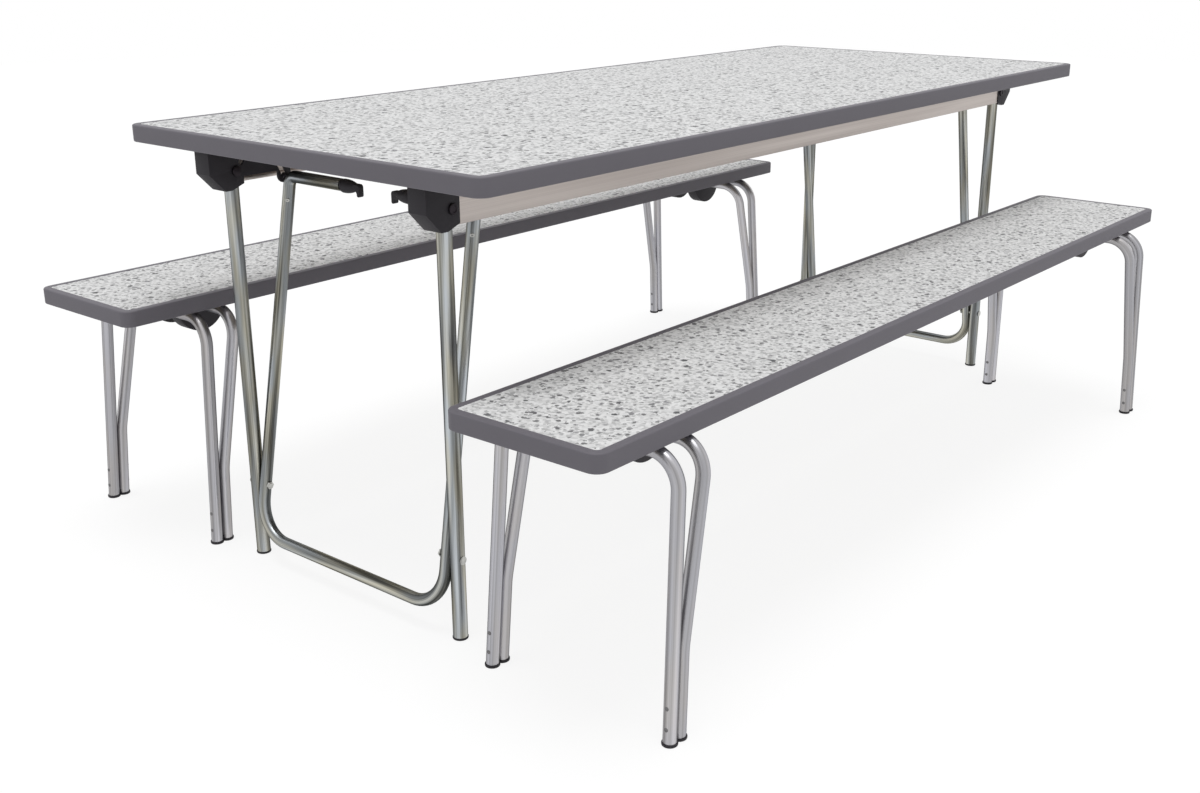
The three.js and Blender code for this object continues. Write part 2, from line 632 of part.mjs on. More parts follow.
const table = new THREE.Group();
table.position.x = BENCH_OFFSET / 2;
set.add(table);
addBoard(table, 'table', TABLE_LENGTH, TABLE_WIDTH, TABLE_HEIGHT, TABLE_CORNER);
addPart(table, 'rail_left', railSolid(1), SATIN_ALUMINIUM);
addPart(table, 'rail_right', railSolid(-1), SATIN_ALUMINIUM);
addTableEnd(table, 'near');
addTableEnd(table, 'far');

for (const [name, side] of [['bench_left', 1], ['bench_right', -1]]) {
  const bench = new THREE.Group();
  bench.position.set(-BENCH_OFFSET / 2, (side * BENCH_SPREAD) / 2, 0);
  set.add(bench);
  addBoard(bench, name, BENCH_LENGTH, BENCH_WIDTH, BENCH_HEIGHT, BENCH_CORNER);
  addBenchEnd(bench, name, 'near');
  addBenchEnd(bench, name, 'far');
}

export default set;
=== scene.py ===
# %% [markdown]
# A folding cafeteria table stands between two loose benches. Every piece is placed from the boxes and hinge
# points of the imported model, in metres, with Z up. A solid whose shape is right keeps its mesh and only gets
# a finish. Finer pieces replace the others.

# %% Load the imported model
import json
import math

import bmesh
import bpy
from mathutils import Matrix, Vector


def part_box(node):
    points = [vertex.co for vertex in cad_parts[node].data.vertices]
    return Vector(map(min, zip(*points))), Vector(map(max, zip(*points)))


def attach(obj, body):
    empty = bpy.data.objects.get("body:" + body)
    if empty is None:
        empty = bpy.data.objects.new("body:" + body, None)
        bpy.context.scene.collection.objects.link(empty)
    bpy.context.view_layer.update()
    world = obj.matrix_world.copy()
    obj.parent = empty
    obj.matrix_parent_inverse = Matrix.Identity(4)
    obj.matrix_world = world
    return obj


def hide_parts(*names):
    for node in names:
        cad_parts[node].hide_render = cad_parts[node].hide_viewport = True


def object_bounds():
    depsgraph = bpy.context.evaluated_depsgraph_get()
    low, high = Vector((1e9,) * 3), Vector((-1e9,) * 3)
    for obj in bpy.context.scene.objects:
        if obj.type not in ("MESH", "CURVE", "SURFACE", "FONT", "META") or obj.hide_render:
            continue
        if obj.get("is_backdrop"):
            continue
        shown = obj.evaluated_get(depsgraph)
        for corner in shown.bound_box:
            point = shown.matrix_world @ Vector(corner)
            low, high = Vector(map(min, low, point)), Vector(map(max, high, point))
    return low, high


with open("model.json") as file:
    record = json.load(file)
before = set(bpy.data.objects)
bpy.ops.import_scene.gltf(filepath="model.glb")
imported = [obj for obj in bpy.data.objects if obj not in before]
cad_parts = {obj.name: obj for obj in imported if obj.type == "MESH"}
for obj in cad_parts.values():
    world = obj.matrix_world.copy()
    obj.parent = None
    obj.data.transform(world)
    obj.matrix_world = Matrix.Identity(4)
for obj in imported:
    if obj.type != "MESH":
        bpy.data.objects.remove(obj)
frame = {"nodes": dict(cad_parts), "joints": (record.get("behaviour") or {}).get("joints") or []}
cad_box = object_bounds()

ENDS = {"near": -1, "far": 1}
HANDS = {"left": 1, "right": -1}
BENCHES = ("bench_left", "bench_right")
BOARDS = ("table",) + BENCHES
TABLE_CORNERS = [(end, hand) for end in ENDS for hand in HANDS]
BENCH_ENDS = [(bench, end) for bench in BENCHES for end in ENDS]
hinges = [joint for joint in frame["joints"] if joint["type"] == "hinge"]
hinge_points = {joint["name"]: Vector(joint["pos_m"]) for joint in hinges}

# %% [markdown]
# The camera stands low at one corner of the set. Its place, turn and lens were solved from the feet and
# board corners of the reference picture. The small shift stands for a crop.

# %% Camera
def add_object(name, data):
    made = bpy.data.objects.new(name, data)
    bpy.context.scene.collection.objects.link(made)
    return made


camera_lens = bpy.data.cameras.new("set_camera")
camera_lens.lens = 41.187
camera_lens.sensor_width = 36.0
camera_lens.sensor_fit = "HORIZONTAL"
camera_lens.shift_x = -0.0156
camera_lens.shift_y = -0.0106
camera = add_object("set_camera", camera_lens)
camera.location = (-2.0488, -1.5296, 0.9863)
camera.rotation_euler = (math.radians(71.468), 0.0, math.radians(-50.942))
bpy.context.scene.camera = camera
bpy.context.scene.view_settings.view_transform = "Standard"
print(f"camera {camera.location.length:.2f} m from the middle of the set")

# %% [markdown]
# One line makes one node, with its options and inputs. The shorter helpers make the nodes used most. Shader
# trees and geometry trees share them.

# %% Node helpers
def fill(tree, node, label, value):
    """A node's input, with a plain value or another node's output."""
    if isinstance(value, bpy.types.NodeSocket):
        tree.links.new(value, node.inputs[label])
    else:
        node.inputs[label].default_value = value


def add_node(tree, kind, inputs=None, **options):
    """The outputs of a new node with its options set and its inputs filled."""
    made = tree.nodes.new(kind)
    for option, value in options.items():
        setattr(made, option, value)
    for label, value in (inputs or {}).items():
        fill(tree, made, label, value)
    return made.outputs


def maths(tree, operation, a, b, clamp=False):
    return add_node(tree, "ShaderNodeMath", {0: a, 1: b}, operation=operation, use_clamp=clamp)["Value"]


def vector_maths(tree, operation, a, b, scale=False):
    inputs = {0: a, ("Scale" if scale else 1): b}
    return add_node(tree, "ShaderNodeVectorMath", inputs, operation=operation)["Vector"]


def combined(tree, x, y, z):
    return add_node(tree, "ShaderNodeCombineXYZ", {"X": x, "Y": y, "Z": z})["Vector"]


def noise(tree, place, scale, detail=2.0):
    return add_node(tree, "ShaderNodeTexNoise", {"Vector": place, "Scale": scale, "Detail": detail})


def mixed(tree, share, a, b, blend="MIX"):
    inputs = {0: share, 6: a, 7: b}
    return add_node(tree, "ShaderNodeMix", inputs, data_type="RGBA", blend_type=blend)[2]


def new_group(name, inputs, outputs, kind="ShaderNodeTree"):
    """A node group with its inner ends. An input is named with its first number, or with its kind."""
    group = bpy.data.node_groups.new(name, kind)
    for label, value in inputs.items():
        socket = NUMBERS.get(type(value), value)
        made = group.interface.new_socket(label, in_out="INPUT", socket_type=socket)
        if socket != value:
            made.default_value = value
    for label, socket in outputs.items():
        group.interface.new_socket(label, in_out="OUTPUT", socket_type=socket)
    given = group.nodes.new("NodeGroupInput").outputs
    result = group.nodes.new("NodeGroupOutput").inputs
    return group, given, result


def paint(*levels):
    """A colour as seen on screen, 0 to 255, as the linear colour that nodes use."""
    shares = [level / 255 for level in levels]
    linear = [share / 12.92 if share <= 0.04045 else ((share + 0.055) / 1.055) ** 2.4 for share in shares]
    return (*linear, 1.0)


FLOAT, VECTOR, COLOUR = "NodeSocketFloat", "NodeSocketVector", "NodeSocketColor"
MATERIAL = "NodeSocketMaterial"
GEOMETRY, OBJECT = "NodeSocketGeometry", "NodeSocketObject"
NUMBERS = {float: FLOAT, int: "NodeSocketInt"}
print(f"mid grey is {paint(128, 128, 128)[0]:.3f} in linear light")

# %% [markdown]
# The studio is a white sweep under one wide, soft overhead lamp. The camera and the plated tubes see a pure
# white sky. The floor mixes a glow into what they see, so that it keeps only a faint contact shadow.

# %% Floor, sky and lamp
WHITE = (1.0, 1.0, 1.0, 1.0)
SKY_TINT = (0.99, 0.995, 1.0, 1.0)
SKY_LEVEL = 0.52
FLOOR_PAINT = (0.92, 0.92, 0.92, 1.0)
FLOOR_GLOW = 0.84
GLOW_LEVEL = 1.04
FLOOR_RADIUS = 9.0
FLOOR_SIDES = 64
FLOOR_LEVEL = -0.0004


def seen_directly(tree):
    """1 for rays from the camera, off a gloss or through a glass, and 0 for rays that only carry light."""
    path = add_node(tree, "ShaderNodeLightPath")
    shine = maths(tree, "MAXIMUM", path["Is Glossy Ray"], path["Is Transmission Ray"])
    return maths(tree, "MAXIMUM", path["Is Camera Ray"], shine)


def show_mixed(tree, output, share, plain, seen):
    """A plain shader, and by its share the one that is seen directly, at the tree's output."""
    mix = add_node(tree, "ShaderNodeMixShader", {0: share, 1: plain[0], 2: seen[0]})
    add_node(tree, output, {"Surface": mix[0]})


def bare_tree(owner):
    owner.use_nodes = True
    owner.node_tree.nodes.clear()
    return owner.node_tree


sky = bpy.data.worlds.new("studio_sky")
tree = bare_tree(sky)
sky_light = add_node(tree, "ShaderNodeBackground", {"Color": SKY_TINT, "Strength": SKY_LEVEL})
sky_white = add_node(tree, "ShaderNodeBackground", {"Color": WHITE, "Strength": 1.0})
show_mixed(tree, "ShaderNodeOutputWorld", seen_directly(tree), sky_light, sky_white)
bpy.context.scene.world = sky

floor_paint = bpy.data.materials.new("white_sweep")
tree = bare_tree(floor_paint)
floor_matt = add_node(tree, "ShaderNodeBsdfDiffuse", {"Color": FLOOR_PAINT})
floor_glow = add_node(tree, "ShaderNodeEmission", {"Color": WHITE, "Strength": GLOW_LEVEL})
glow_share = maths(tree, "MULTIPLY", seen_directly(tree), FLOOR_GLOW)
show_mixed(tree, "ShaderNodeOutputMaterial", glow_share, floor_matt, floor_glow)

floor_mesh = bpy.data.meshes.new("floor")
turns = [math.tau * i / FLOOR_SIDES for i in range(FLOOR_SIDES)]
floor_rim = [(FLOOR_RADIUS * math.cos(turn), FLOOR_RADIUS * math.sin(turn), FLOOR_LEVEL) for turn in turns]
floor_mesh.from_pydata(floor_rim, [], [tuple(range(FLOOR_SIDES))])
floor_mesh.materials.append(floor_paint)
floor = add_object("floor", floor_mesh)
floor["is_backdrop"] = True

lamp = bpy.data.lights.new("overhead_softbox", "SUN")
lamp.energy = 1.56
lamp.angle = math.radians(30)
lamp_stand = add_object("overhead_softbox", lamp)
lamp_stand.rotation_euler = (0.0, math.radians(-3), 0.0)
print(f"sky at {SKY_LEVEL}, lamp at {lamp.energy}")

# %% [markdown]
# Four effects are node groups, built once and used several times. Specks scatters chips over a flat face:
# one chip per cell, some cells empty, each chip with a ragged outline.

# %% Shared effect: specks
WOBBLE_SCALE = 3.2
LEAST_CHIP = 0.55
CHIP_SOFTNESS = 0.32

specks, given, result = new_group(
    "Specks", {"Vector": VECTOR, "Cells per metre": 50.0, "Chip radius": 0.14, "Share of cells": 0.5,
               "Raggedness": 0.3}, {"Mask": FLOAT, "Tone": FLOAT})
spread = vector_maths(specks, "SCALE", given["Vector"], given["Cells per metre"], scale=True)
wobble = vector_maths(specks, "SUBTRACT", noise(specks, spread, WOBBLE_SCALE)["Color"], (0.5, 0.5, 0.5))
wobble = vector_maths(specks, "SCALE", wobble, given["Raggedness"], scale=True)
ragged = vector_maths(specks, "ADD", spread, wobble)
cells = add_node(specks, "ShaderNodeTexVoronoi", {"Vector": ragged, "Scale": 1.0}, voronoi_dimensions="2D")
draw = add_node(specks, "ShaderNodeSeparateColor", {"Color": cells["Color"]})
present = maths(specks, "LESS_THAN", draw["Red"], given["Share of cells"])
radius = maths(specks, "MULTIPLY", given["Chip radius"], maths(specks, "ADD", draw["Green"], LEAST_CHIP))
depth = maths(specks, "SUBTRACT", radius, cells["Distance"])
soft = maths(specks, "MULTIPLY", given["Chip radius"], CHIP_SOFTNESS)
shape = maths(specks, "DIVIDE", depth, soft, clamp=True)
specks.links.new(maths(specks, "MULTIPLY", shape, present), result["Mask"])
specks.links.new(draw["Blue"], result["Tone"])
print(f"specks: {len(specks.nodes)} nodes")

# %% [markdown]
# Clouding is the slow drift in tone of any real sheet, casting or coating. It is a factor round 1 that a
# colour is multiplied by.

# %% Shared effect: clouding
clouding, given, result = new_group(
    "Clouding", {"Vector": VECTOR, "Clouds per metre": 8.0, "Amount": 0.1},
    {"Factor": FLOAT, "Colour": COLOUR})
cloud = noise(clouding, given["Vector"], given["Clouds per metre"], 4.0)[0]
drift = maths(clouding, "MULTIPLY", maths(clouding, "SUBTRACT", cloud, 0.5), given["Amount"])
factor = maths(clouding, "ADD", drift, 1.0)
tint = add_node(clouding, "ShaderNodeCombineColor", {"Red": factor, "Green": factor, "Blue": factor})
clouding.links.new(factor, result["Factor"])
clouding.links.new(tint["Color"], result["Colour"])
print(f"clouding: {len(clouding.nodes)} nodes")

# %% [markdown]
# Draw marks are the long streaks of drawn tube and extruded rail; on the tubes they also give painted
# reflections, dark lines and light bands. The third number of the place runs along the piece. Squeezing the
# place stretches noise into lines. Fine and broad lines come out apart.

# %% Shared effect: draw marks
draw_marks, given, result = new_group(
    "Draw marks", {"Place": VECTOR, "Broad lines": 1.3, "Fine lines": 5.0, "Run": 0.5},
    {"Broad": FLOAT, "Fine": FLOAT})
for label, detail in (("Broad", 1.0), ("Fine", 3.0)):
    lines = given[f"{label} lines"]
    squeeze = combined(draw_marks, lines, lines, given["Run"])
    along = vector_maths(draw_marks, "MULTIPLY", given["Place"], squeeze)
    draw_marks.links.new(noise(draw_marks, along, 1.0, detail)[0], result[label])
print(f"draw marks: {len(draw_marks.nodes)} nodes")

# %% [markdown]
# Pebble is the fine grain that a spark-eroded mould leaves on plastic. It is a height for a Bump node.

# %% Shared effect: pebble
WAVES_PER_GRAIN = 0.2

pebble, given, result = new_group(
    "Pebble", {"Vector": VECTOR, "Grains per metre": 1500.0}, {"Height": FLOAT})
grain = noise(pebble, given["Vector"], given["Grains per metre"])[0]
slower = maths(pebble, "MULTIPLY", given["Grains per metre"], WAVES_PER_GRAIN)
waves = noise(pebble, given["Vector"], slower)[0]
pebble.links.new(maths(pebble, "ADD", grain, waves), result["Height"])
print(f"pebble: {len(pebble.nodes)} nodes")

# %% [markdown]
# Every finish starts from a material with one Principled shader, and from the place of the surface in
# object coordinates. Sizes in the patterns are real sizes, because every piece sits unscaled at the origin.

# %% Finish helpers
def shade(tree, label, value):
    """An input of the finish's one Principled shader."""
    fill(tree, tree.nodes["Principled BSDF"], label, value)


def new_finish(name, roughness, metallic=0.0):
    finish = bpy.data.materials.new(name)
    finish.use_nodes = True
    tree = finish.node_tree
    shade(tree, "Roughness", roughness)
    shade(tree, "Metallic", metallic)
    return finish, tree, add_node(tree, "ShaderNodeTexCoord")["Object"]


def effect(tree, group, inputs):
    return add_node(tree, "ShaderNodeGroup", inputs, node_tree=group)


def ramp(tree, factor, stops):
    made = tree.nodes.new("ShaderNodeValToRGB")
    fill(tree, made, 0, factor)
    elements = made.color_ramp.elements
    while len(elements) < len(stops):
        elements.new(0.5)
    for element, (position, colour) in zip(elements, stops):
        element.position = position
        element.color = colour
    return made.outputs["Color"]


def clouded(tree, place, colour, clouds, amount):
    """The colour, with a slow drift in tone, as the base colour. Returns the drift."""
    drift = effect(tree, clouding, {"Vector": place, "Clouds per metre": clouds, "Amount": amount})
    shade(tree, "Base Color", mixed(tree, 1.0, colour, drift["Colour"], "MULTIPLY"))
    return drift["Factor"]


def streaks(tree, marks, broad_share):
    """Broad and fine draw marks as one pattern."""
    broad = maths(tree, "MULTIPLY", marks["Broad"], broad_share)
    fine = maths(tree, "MULTIPLY", marks["Fine"], 1 - broad_share)
    return maths(tree, "ADD", broad, fine)


def uneven_gloss(tree, pattern, low, high):
    """A 0 to 1 pattern as a roughness that runs from low to high."""
    made = add_node(tree, "ShaderNodeMapRange", {"Value": pattern, "To Min": low, "To Max": high})
    shade(tree, "Roughness", made["Result"])


def roughen(tree, height, depth, strength=1.0):
    bump = add_node(tree, "ShaderNodeBump", {"Strength": strength, "Distance": depth, "Height": height})
    shade(tree, "Normal", bump["Normal"])


print(len(bpy.data.node_groups), "shared effects to finish with")

# %% [markdown]
# The board faces are laminate: a pale grey print under a clear, slightly textured wear layer. Three layers
# of specks give the print: a ground that fills every cell, then small and large grey chips.

# %% Laminate finish
GROUND_GREYS = ((0.0, 184), (0.25, 207), (0.55, 222), (1.0, 233))


def chip_layer(tree, place, cells, radius, share, raggedness):
    return effect(tree, specks, {"Vector": place, "Cells per metre": cells, "Chip radius": radius,
                                 "Share of cells": share, "Raggedness": raggedness})


laminate, tree, place = new_finish("speckled_laminate", 0.60)
shade(tree, "Specular IOR Level", 0.03)
mosaic = chip_layer(tree, place, cells=240.0, radius=1.0, share=1.0, raggedness=0.5)
small = chip_layer(tree, place, cells=96.0, radius=0.26, share=0.70, raggedness=0.8)
large = chip_layer(tree, place, cells=52.0, radius=0.19, share=0.27, raggedness=0.7)
ground = ramp(tree, mosaic["Tone"], [(stop, paint(grey, grey, grey)) for stop, grey in GROUND_GREYS])
small_tone = mixed(tree, small["Tone"], paint(108, 108, 109), paint(190, 190, 191))
large_tone = mixed(tree, large["Tone"], paint(92, 92, 94), paint(150, 150, 152))
speckled = mixed(tree, small["Mask"], ground, small_tone)
speckled = mixed(tree, large["Mask"], speckled, large_tone)
clouded(tree, place, speckled, clouds=5.0, amount=0.06)
uneven_gloss(tree, mosaic["Tone"], 0.54, 0.66)
orange_peel = effect(tree, pebble, {"Vector": place, "Grains per metre": 900.0})
roughen(tree, orange_peel["Height"], depth=0.00003)
print("finish:", laminate.name)

# %% [markdown]
# The edge band and the black mouldings are plastics with a fine mould grain. One function makes both.

# %% Plastic finishes
def plastic(name, colour, roughness, shine, grains, depth, amount):
    finish, tree, place = new_finish(name, roughness)
    shade(tree, "Specular IOR Level", shine)
    clouded(tree, place, colour, clouds=14.0, amount=amount)
    height = effect(tree, pebble, {"Vector": place, "Grains per metre": grains})["Height"]
    uneven_gloss(tree, height, roughness - 0.12, roughness + 0.08)
    roughen(tree, height, depth)
    return finish


edge_plastic = plastic("violet_grey_band", paint(103, 100, 107), roughness=0.55, shine=0.5,
                       grains=1400.0, depth=0.00004, amount=0.10)
black_plastic = plastic("black_moulding", paint(35, 32, 38), roughness=0.55, shine=0.38,
                        grains=1700.0, depth=0.00007, amount=0.30)
print("finishes:", edge_plastic.name, black_plastic.name)

# %% [markdown]
# The tubes are drawn steel: zinc plated under the table, brighter on the benches. Each tube mesh carries
# its own place, called tube: where round the tube, and how far along. Streaks follow it round every bend:
# partly draw marks, partly painted reflections, dark lines and light bands in the base colour. Over them,
# the thin film of the plating bath drifts between a warm and a cool tint.

# %% Tube finishes
def tube_finish_with_painted_reflections(name, roughness, edge, run, stops, warm, cool):
    finish, tree, _ = new_finish(name, roughness, 1.0)
    place = add_node(tree, "ShaderNodeAttribute", attribute_name="tube")["Vector"]
    marks = effect(tree, draw_marks, {"Place": place, "Broad lines": 1.2, "Fine lines": 6.0, "Run": run})
    # Base colour: draw marks together with painted reflections, dark lines and light bands, from the ramp's
    # stops.
    streaks_and_painted_reflections = ramp(tree, streaks(tree, marks, broad_share=0.70), stops)
    film = effect(tree, draw_marks, {"Place": place, "Broad lines": 0.7, "Run": 9.0})["Broad"]
    tint = ramp(tree, film, [(0.36, warm), (0.64, cool)])
    shade(tree, "Base Color", mixed(tree, 1.0, streaks_and_painted_reflections, tint, "MULTIPLY"))
    uneven_gloss(tree, marks["Fine"], roughness - 0.08, roughness + 0.10)
    shade(tree, "Specular Tint", edge)
    roughen(tree, marks["Fine"], depth=0.00005, strength=0.5)
    return finish


# The stops of both tubes run from the dark lines to the light bands of the painted reflections.
zinc_tube = tube_finish_with_painted_reflections(
    "zinc_plated_tube", roughness=0.32, edge=(0.25, 0.25, 0.25, 1.0), run=4.0,
    stops=[(0.32, paint(72, 72, 70)), (0.42, paint(119, 119, 118)),
           (0.52, paint(152, 153, 153)), (0.64, paint(198, 199, 200))],
    warm=(1.0, 0.95, 0.79, 1.0), cool=(0.92, 0.965, 1.0, 1.0))
bright_tube = tube_finish_with_painted_reflections(
    "bright_bench_tube", roughness=0.34, edge=(0.35, 0.35, 0.36, 1.0), run=0.8,
    stops=[(0.32, paint(128, 126, 127)), (0.46, paint(169, 168, 170)), (0.62, paint(203, 202, 206))],
    warm=(1.0, 0.98, 0.95, 1.0), cool=(0.96, 0.97, 1.0, 1.0))
print("finishes:", zinc_tube.name, bright_tube.name)

# %% [markdown]
# The rails are extruded aluminium with a satin, slightly warm surface and hair lines along their length.
# Pins, bolts, rivets and screws are small metal parts with a blotchy plating.

# %% Rail and fastener finishes
rail_metal, tree, place = new_finish("satin_aluminium", 0.42, 1.0)
parts = add_node(tree, "ShaderNodeSeparateXYZ", {"Vector": place})
along = combined(tree, parts["Y"], parts["Z"], parts["X"])
marks = effect(tree, draw_marks, {"Place": along, "Broad lines": 60.0, "Fine lines": 900.0, "Run": 2.0})
satin = [(0.30, paint(174, 165, 160)), (0.70, paint(204, 196, 191))]
shade(tree, "Base Color", ramp(tree, streaks(tree, marks, broad_share=0.5), satin))
uneven_gloss(tree, marks["Fine"], 0.36, 0.50)
roughen(tree, marks["Fine"], depth=0.00003, strength=0.5)


def small_metal(name, colour, roughness):
    finish, tree, place = new_finish(name, roughness, 1.0)
    drift = clouded(tree, place, colour, clouds=220.0, amount=0.5)
    shade(tree, "Roughness", maths(tree, "MULTIPLY", drift, roughness))
    return finish


zinc_fastener = small_metal("zinc_fastener", paint(116, 115, 116), 0.38)
bright_fastener = small_metal("bright_fastener", paint(186, 186, 182), 0.34)
black_pin = small_metal("blackened_pin", paint(52, 48, 52), 0.45)
print("finishes:", rail_metal.name, zinc_fastener.name, bright_fastener.name, black_pin.name)

# %% [markdown]
# The underside of the boards is the bare core of particle board. Its solid is already right, so it keeps
# its mesh and only takes this finish.

# %% Particle board finish on the cores
particle_board, tree, place = new_finish("particle_board", 0.85)
chips = add_node(tree, "ShaderNodeTexVoronoi", {"Vector": place, "Scale": 240.0})["Color"]
chip_tone = add_node(tree, "ShaderNodeSeparateColor", {"Color": chips})["Red"]
wood = [(0.0, paint(126, 117, 106)), (0.5, paint(144, 135, 124)), (1.0, paint(160, 152, 141))]
clouded(tree, place, ramp(tree, chip_tone, wood), clouds=9.0, amount=0.16)
roughen(tree, chip_tone, depth=0.00006)
for name in BOARDS:
    frame["nodes"][f"{name}_core"].material_slots[0].material = particle_board
print("cores finished:", len(BOARDS))

# %% [markdown]
# Most pieces are lofts: rings with the same number of corners, joined face by face. A board edge, a foot
# and a pin differ only in their rings. Edges sharper than a set angle stay crisp.

# %% Piece helpers
CREASE = math.radians(38)
SHARP_EDGE = math.radians(34)


def new_piece(mesh, finish=None):
    """An object with the name of its mesh."""
    if finish:
        mesh.materials.clear()
        mesh.materials.append(finish)
    return add_object(mesh.name, mesh)


def tidy_mesh(mesh):
    shell = bmesh.new()
    shell.from_mesh(mesh)
    bmesh.ops.recalc_face_normals(shell, faces=shell.faces)
    shell.to_mesh(mesh)
    shell.free()
    mesh.shade_smooth()
    mesh.set_sharp_from_angle(angle=CREASE)
    return mesh


def mesh_from(shell, name):
    mesh = bpy.data.meshes.new(name)
    shell.to_mesh(mesh)
    shell.free()
    return tidy_mesh(mesh)


def rounded_over(shell, name, width):
    """A mesh of the shell with its sharp edges rounded."""
    crisp = [edge for edge in shell.edges if edge.calc_face_angle(0) > SHARP_EDGE]
    bmesh.ops.bevel(shell, geom=crisp, offset=width, segments=3, profile=0.5, affect="EDGES",
                    clamp_overlap=True)
    return mesh_from(shell, name)


def loft(name, rings, closed=False):
    """Faces between rings, closed by end caps, or back to the first ring."""
    count = len(rings[0])
    corners = [corner for ring in rings for corner in ring]
    steps = [(a, a + 1) for a in range(len(rings) - 1)]
    faces = []
    if closed:
        steps.append((len(rings) - 1, 0))
    else:
        faces = [tuple(range(count)), tuple(range(len(corners) - count, len(corners)))]
    for a, b in steps:
        for i in range(count):
            j = (i + 1) % count
            faces.append((a * count + i, a * count + j, b * count + j, b * count + i))
    mesh = bpy.data.meshes.new(name)
    mesh.from_pydata(corners, [], faces)
    return tidy_mesh(mesh)


def arc(centre, radius, start, stop, steps):
    """Points of an arc in a flat drawing, angles in degrees."""
    for i in range(steps + 1):
        angle = math.radians(start + (stop - start) * i / steps)
        yield centre[0] + radius * math.cos(angle), centre[1] + radius * math.sin(angle)


def turned(name, profile, place, outward=(0, 0, 1), sides=40):
    """A turned piece from radius and run along its outward direction."""
    turns = [math.tau * i / sides for i in range(sides)]
    rings = [[(radius * math.cos(turn), radius * math.sin(turn), run) for turn in turns]
             for radius, run in profile]
    mesh = loft(name, rings)
    tilt = Vector((0, 0, 1)).rotation_difference(Vector(outward)).to_matrix().to_4x4()
    mesh.transform(Matrix.Translation(place) @ tilt)
    return mesh


def stepped(radius, face, edge, way=1):
    """Profile points from a radius and a face, by insets and depths."""
    return [(radius - inset, face + way * depth) for inset, depth in edge]


def joined(name, meshes):
    """Several closed shells as one mesh."""
    whole = bmesh.new()
    for mesh in meshes:
        whole.from_mesh(mesh)
    return mesh_from(whole, name)


def mount(piece, body, slot, *nodes):
    """The piece moves with its body and stands for its solids. The slot is not used."""
    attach(piece, body)
    if nodes:
        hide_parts(*nodes)


def put(mesh, finish, body, slot, *nodes):
    """The mesh as a mounted piece."""
    mount(new_piece(mesh, finish), body, slot, *nodes)


print(f"edges sharper than {math.degrees(CREASE):.0f} degrees stay crisp")

# %% [markdown]
# Each board wears a moulded band with a rounded shoulder and a slightly crowned lip beside the laminate. A
# profile swept round a rounded rectangle makes it: each profile point is one ring, drawn in by its inset.

# %% Edge bands and faces
BAND_WIDTH = 0.0125
SHOULDER = 0.0024
HEEL = 0.0022
LIP_CROWN = 0.0003
LIP_WIDTH = 0.0012
LIP_ROUND = 0.0003
LIP_SINK = 0.0004
FACE_CLEARANCE = 0.00008
FACE_ROUND = 0.0003
CORNER_STEPS = 14
LEAST_CORNER = 0.0005
BOARD_CORNERS = {"table": 0.020, "bench_left": 0.019, "bench_right": 0.019}


def board_ring(low, high, corner, inset, z):
    radius = max(corner - inset, LEAST_CORNER)
    right, left = high.x - inset - radius, low.x + inset + radius
    back, front = high.y - inset - radius, low.y + inset + radius
    centres = [(right, back), (left, back), (left, front), (right, front)]
    return [(x, y, z) for quarter, centre in enumerate(centres)
            for x, y in arc(centre, radius, 90 * quarter, 90 * quarter + 90, CORNER_STEPS)]


for name in BOARDS:
    low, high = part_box(f"{name}_edge")
    corner = BOARD_CORNERS[name]
    profile = [(BAND_WIDTH, low.z)]
    profile += arc((HEEL, low.z + HEEL), HEEL, 270, 180, steps=6)
    profile += arc((SHOULDER, high.z - SHOULDER), SHOULDER, 180, 90, steps=8)
    profile += [(BAND_WIDTH - LIP_WIDTH, high.z + LIP_CROWN),
                (BAND_WIDTH - LIP_ROUND, high.z + LIP_CROWN / 2), (BAND_WIDTH, high.z - LIP_SINK)]
    rings = [board_ring(low, high, corner, inset, z) for inset, z in profile]
    put(loft(f"{name}_band", rings, closed=True), edge_plastic, name, "edge_band", f"{name}_edge")
    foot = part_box(f"{name}_laminate")[0].z
    edge = BAND_WIDTH + FACE_CLEARANCE
    steps = [(edge, foot), (edge, high.z - FACE_ROUND), (edge + FACE_ROUND, high.z)]
    rings = [board_ring(low, high, corner, inset, z) for inset, z in steps]
    put(loft(f"{name}_face", rings), laminate, name, "laminate", f"{name}_laminate")
    print(f"{name}: {high.x - low.x:.3f} by {high.y - low.y:.3f} m, top at {high.z:.3f}")

# %% [markdown]
# Two rails stiffen the table top, with a flange under the board, a thin upright web and a thick bead along
# the foot. Their section is drawn with rounded corners and pulled from end to end.

# %% Rails
RAIL_WEB = 0.0022
RAIL_BEAD = (0.0048, 0.006)
RAIL_FLANGE = (0.026, 0.0028)
RAIL_ROUNDS = (0.0004, 0.0004, 0.0008, 0.0015, 0.0012, 0.0016, 0.0016, 0.0016)


def rounded(points, rounds, steps=4):
    """A closed outline whose corners are rounded, each by its own radius."""
    outline = []
    for i, radius in enumerate(rounds):
        here = Vector(points[i])
        before = (Vector(points[i - 1]) - here).normalized()
        after = (Vector(points[(i + 1) % len(points)]) - here).normalized()
        half = before.angle(after) / 2
        reach = radius / math.tan(half)
        first, last = here + before * reach, here + after * reach
        centre = here + (before + after).normalized() * (radius / math.sin(half))
        start = (first - centre).xy
        turn = start.angle_signed(last - centre)
        for k in range(steps + 1):
            angle = math.atan2(start.y, start.x) - turn * k / steps
            outline.append((centre.x + radius * math.cos(angle), centre.y + radius * math.sin(angle)))
    return outline


